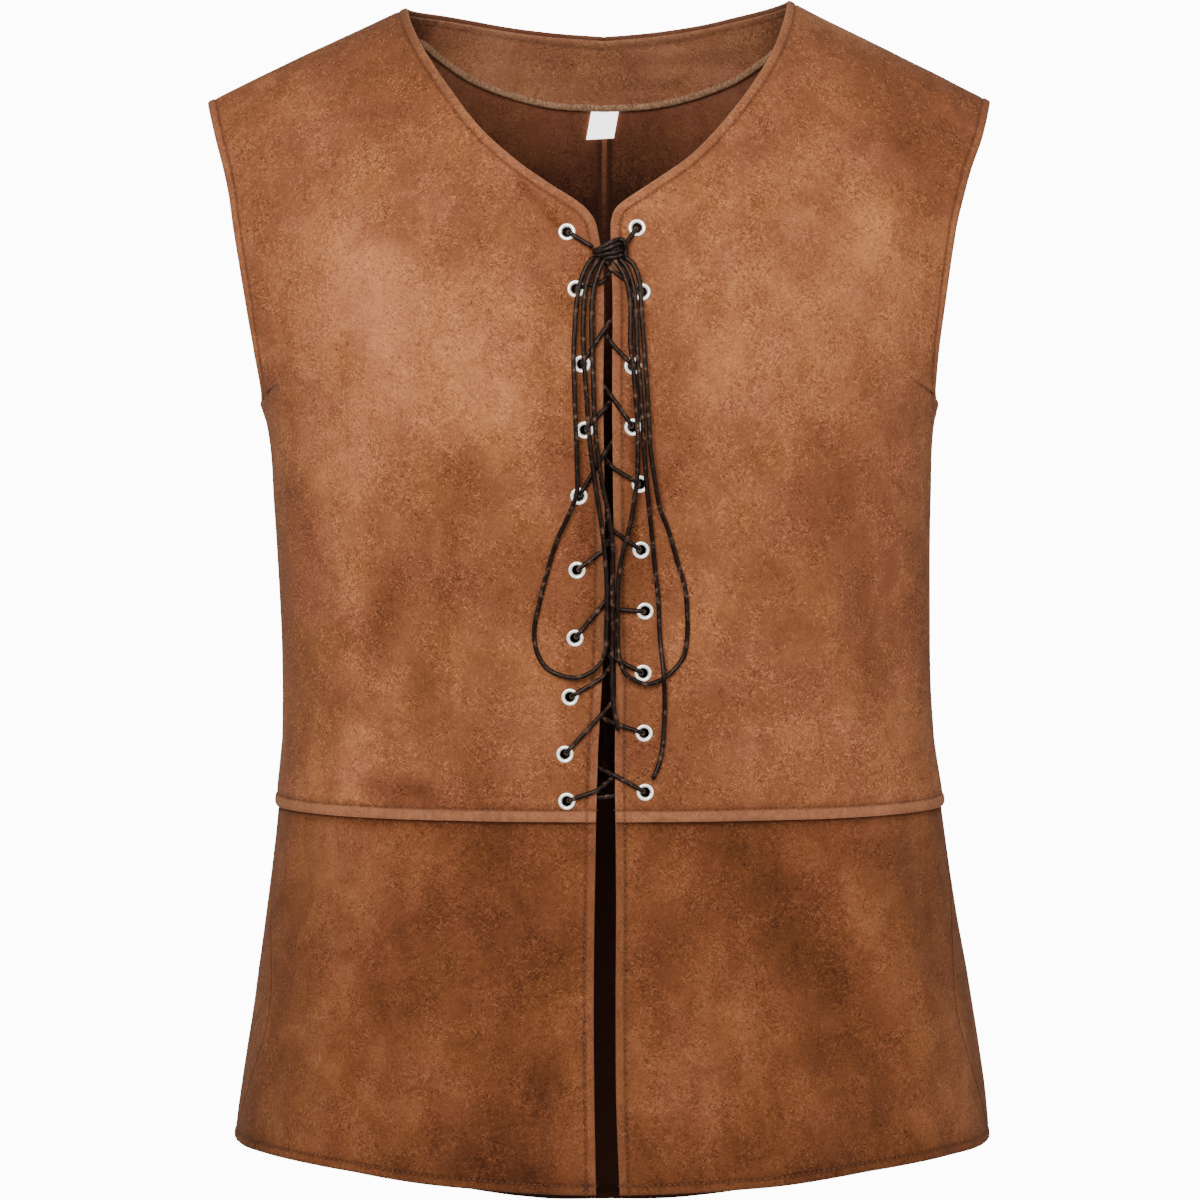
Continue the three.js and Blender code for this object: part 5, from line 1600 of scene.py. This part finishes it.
def climb(side):
    """Half of the lace, from its lowest eyelet up to the knot."""
    places, before = [], eyelet_at(OTHER[side], -1)
    for i in range(len(EYELETS[side]["x"]) - 1, 0, -1):
        gap = cross_gap(side, i)
        places += [*up_through(eyelet_at(side, i), before[:2], gap[0, :2]), *gap]
        before, side = gap[-1], OTHER[side]
    end = np.array([KNOT["x"] + SIDES[side] * KNOT_REACH, KNOT["z"], KNOT["lift"]])
    return places + [*up_through(eyelet_at(side, 0), before[:2], end[:2]), end]


def cord_on_front(name, places, radius=LACE_D / 2, flat=1.0, step=1.3):
    """A cord through places given as x, z and height over the cloth's middle."""
    xs, zs, lifts = np.array(places, float).T
    return tube(name, spline(on_front(xs, zs, lifts), step), radius, LACE, flat=flat)


lacing = cord_on_front("lacing_cord", [*climb("right")[::-1], *climb("left")])
belongs(lacing, "lace_leather", "lacing")

# the bow knot: places on the front of each strand, with its height over the cloth's middle
KNOT_STRANDS = [
    [
        (-6.6, -161.0, 3.4), (-4.0, -160.2, 5.6), (0.2, -158.2, 7.2), (4.6, -156.0, 7.4),
        (8.2, -154.4, 6.2), (10.6, -154.4, 4.2),
    ],
    [
        (-6.6, -161.6, 3.2), (-3.4, -161.4, 6.2), (1.0, -160.4, 8.2), (5.4, -158.6, 8.4),
        (9.0, -157.0, 7.0), (11.2, -157.0, 4.6),
    ],
    [
        (-5.6, -162.6, 3.4), (-2.6, -163.6, 6.0), (1.6, -162.9, 7.9), (5.8, -162.3, 7.7),
        (9.2, -161.0, 6.8), (11.4, -160.4, 4.8),
    ],
    [
        (-2.8, -164.4, 3.6), (1.2, -164.9, 6.0), (5.2, -164.7, 6.9), (9.0, -163.9, 6.3),
        (11.2, -162.6, 4.6),
    ],
    [
        (8.0, -154.8, 6.6), (10.6, -154.9, 7.6), (12.2, -157.2, 6.6), (12.6, -160.4, 5.6),
        (12.2, -164.4, 5.1),
    ],
]
KNOT_CORE = [(-4.4, -161.2, 4.4), (0.4, -161.0, 5.0), (4.6, -160.3, 5.2), (9.8, -158.6, 4.6)]


def joined(name, pieces):
    """One piece made of several meshes of the same material."""
    work = bmesh.new()
    for piece in pieces:
        work.from_mesh(piece.data)
    mesh = pieces[0].data
    work.to_mesh(mesh)
    work.free()
    for piece in pieces[1:]:
        bpy.data.objects.remove(piece)
    pieces[0].name = name
    return pieces[0]


KNOT_SIZES = {"strand": 1.5, "core": 3.3, "core_flat": 0.9, "step": 0.7}
step = KNOT_SIZES["step"]
strands = [cord_on_front("strand", places, KNOT_SIZES["strand"], step=step) for places in KNOT_STRANDS]
strands.append(cord_on_front("core", KNOT_CORE, KNOT_SIZES["core"], KNOT_SIZES["core_flat"], step))
belongs(joined("lace_knot_strands", strands), "lace_leather", "lace_knot")


# ---------- eyelets and stitches ----------
def new_tree(name, inputs):
    """An empty geometry tree, and the call that ends it with one instance at every point."""
    kinds = [("Geometry", "NodeSocketGeometry", None), ("Material", "NodeSocketMaterial", None)]
    kinds += [(label, "NodeSocketFloat", default) for label, default in inputs]
    outputs = [("Geometry", "NodeSocketGeometry")]
    group, source, result = new_group(name, kinds, outputs, "GeometryNodeTree")
    w = Wiring(group)

    def finish(points, instance, rotation):
        placed = {"Points": points, "Instance": instance, "Rotation": rotation}
        placed = w.out("GeometryNodeInstanceOnPoints", placed)
        painted = {"Geometry": w.out("GeometryNodeRealizeInstances", {0: placed})}
        painted |= {"Material": source.outputs["Material"]}
        w.link(w.out("GeometryNodeSetMaterial", painted), result.inputs[0])

    return group, w, source.outputs, finish


def grow(name, carrier, group, **given):
    """Runs a geometry tree on a carrier mesh and keeps what it makes as a plain mesh."""
    modifier = carrier.modifiers.new(name, "NODES")
    modifier.node_group = group
    for item in group.interface.items_tree:
        if item.in_out == "INPUT" and item.name in given:
            modifier[item.identifier] = given[item.name]
    depsgraph = bpy.context.evaluated_depsgraph_get()
    mesh = bpy.data.meshes.new_from_object(carrier.evaluated_get(depsgraph), depsgraph=depsgraph)
    carrier.modifiers.remove(modifier)
    bpy.data.objects.remove(carrier)
    mesh.shade_smooth()
    return add_object(name, mesh)


def way_out(w):
    """The way out of the cloth, which a carrier holds at each point."""
    named = w.node("GeometryNodeInputNamedAttribute", {"Name": "out"}, data_type="FLOAT_VECTOR")
    return named.outputs["Attribute"]


def ring(w, radius, half_wide, half_high, drop, segments=28, sides=10):
    """A ring of oval section about the Z axis, let down by drop."""
    path, section = (
        w.out("GeometryNodeCurvePrimitiveCircle", {"Resolution": count, "Radius": size})
        for count, size in ((segments, radius), (sides, 1))
    )
    size = w.out("ShaderNodeCombineXYZ", {0: half_wide, 1: half_high, 2: 1})
    oval = w.out("GeometryNodeTransform", {"Geometry": section, "Scale": size})
    swept = w.out("GeometryNodeCurveToMesh", {"Curve": path, "Profile Curve": oval})
    offset = w.out("ShaderNodeCombineXYZ", {2: w.math("MULTIPLY", drop, -1.0)})
    return w.out("GeometryNodeTransform", {"Geometry": swept, "Translation": offset})


# half heights of the eyelet's domed rim and rear flange, and half its barrel's wall
RIM_HALF_HIGH, REAR_HALF_HIGH, BARREL_HALF = 0.8, 0.45, 0.25


def eyelet_tree():
    """Domed rim, barrel and rear flange at every point, facing along its "out"."""
    inputs = [("Bore", 3.15 * MM), ("Rim", 5.2 * MM), ("Rear Rim", 4.5 * MM), ("Depth", 2.4 * MM)]
    group, w, given, finish = new_tree("eyelets", inputs)
    bore, rim, rear, depth = (given[k] for k, _ in inputs)

    def flange(outer, half_high, drop):
        middle = w.math("MULTIPLY", w.math("ADD", bore, outer), 0.5)
        half = w.math("MULTIPLY", w.math("SUBTRACT", outer, bore), 0.5)
        return ring(w, middle, half, half_high * MM, drop)

    half_deep = w.math("MULTIPLY", depth, 0.5)
    parts = w.node("GeometryNodeJoinGeometry")
    w.link(flange(rear, REAR_HALF_HIGH, depth), parts.inputs[0])
    w.link(ring(w, bore, BARREL_HALF * MM, half_deep, half_deep), parts.inputs[0])
    w.link(flange(rim, RIM_HALF_HIGH, 0.0), parts.inputs[0])
    turn = w.out("FunctionNodeAlignRotationToVector", {"Vector": way_out(w)}, axis="Z")
    finish(given["Geometry"], parts.outputs[0], turn)
    return group


def stitch_tree():
    """Short rounded stitches at even steps along every line of the mesh."""
    inputs = [("Pitch", 3.3 * MM), ("Length", 2.5 * MM), ("Thickness", 0.5 * MM), ("Slant", 0.0)]
    group, w, given, finish = new_tree("stitches", inputs)
    pitch, length, thickness, slant = (given[k] for k, _ in inputs)
    lines = w.out("GeometryNodeMeshToCurve", {"Mesh": given["Geometry"]})
    steps = w.out("GeometryNodeResampleCurve", {"Curve": lines, "Length": pitch}, mode="LENGTH")
    bead = w.out("GeometryNodeMeshUVSphere", {"Segments": 6, "Rings": 4, "Radius": 0.5})
    size = w.out("ShaderNodeCombineXYZ", {0: length, 1: thickness, 2: thickness})
    shaped = w.out("GeometryNodeTransform", {"Geometry": bead, "Scale": size})
    lean = w.out("ShaderNodeCombineXYZ", {2: slant})
    leant = w.out("GeometryNodeTransform", {"Geometry": shaped, "Rotation": lean})
    axes = {"Primary Axis": way_out(w), "Secondary Axis": w.out("GeometryNodeInputTangent")}
    turn = w.out("FunctionNodeAxesToRotation", axes, primary_axis="Z", secondary_axis="X")
    finish(steps, leant, turn)
    return group


def carrier(lines, outs):
    """A mesh of open lines, or of loose points, that holds the way out at each point."""
    mesh = bpy.data.meshes.new("carrier")
    starts = np.cumsum([0] + [len(line) for line in lines])
    edges = [(a, a + 1) for start, end in zip(starts, starts[1:]) for a in range(start, end - 1)]
    mesh.from_pydata((np.concatenate(lines) * MM).tolist(), edges, [])
    layer = mesh.attributes.new("out", "FLOAT_VECTOR", "POINT")
    layer.data.foreach_set("vector", np.concatenate(outs).astype(np.float32).ravel())
    return add_object("carrier", mesh)


EYELET_LIFT = SUEDE / 2 + 0.25
eyelet_places, eyelet_outs = [], []
for side in SIDES:
    for x, z in zip(EYELETS[side]["x"], EYELETS[side]["z"]):
        place = on_front(x, z, EYELET_LIFT)
        eyelet_places.append([place])
        eyelet_outs.append([unit(on_front(x, z, 3) - place)])
eyelets = grow("eyelets", carrier(eyelet_places, eyelet_outs), eyelet_tree(), Material=METAL)
belongs(eyelets, "eyelet_metal", *(f"eyelet_{side}_{i:02d}" for side in SIDES for i in range(1, 11)))

STITCHES = stitch_tree()
for slot_name, lines in STITCH_LINES.items():
    places, outs = zip(*lines)
    thread = grow("topstitching_" + slot_name, carrier(places, outs), STITCHES, Material=THREAD)
    belongs(thread, slot_name)

# a small cross tack at the lower corner of the right skirt front
TACK = {"x": -10.4, "z": -709.6, "reach": 2.4, "lift": 0.55, "radius": 0.45}
tack_bars = []
for slope in (-1, 1):
    run = np.linspace(-1, 1, 9) * TACK["reach"]
    bar = on_skirt(TACK["x"] + run, TACK["z"] + slope * run, TACK["lift"])
    tack_bars.append(tube("tack", bar, TACK["radius"], DARK_THREAD, sides=6))
belongs(joined("corner_cross_tack", tack_bars), "brown_suede")

OVERLOCK_STITCH = {"Pitch": 1.25 * MM, "Length": 4.2 * MM, "Thickness": 0.62 * MM}
overlock_line = binding_path + facing_in[-1] * BINDING["half_high"] * 0.86
loops = grow(
    "facing_overlock_loops",
    carrier([overlock_line], [facing_in[-1]]),
    STITCHES,
    Material=OVERLOCK,
    Slant=math.radians(68),
    **OVERLOCK_STITCH,
)
belongs(loops, "facing_suede")
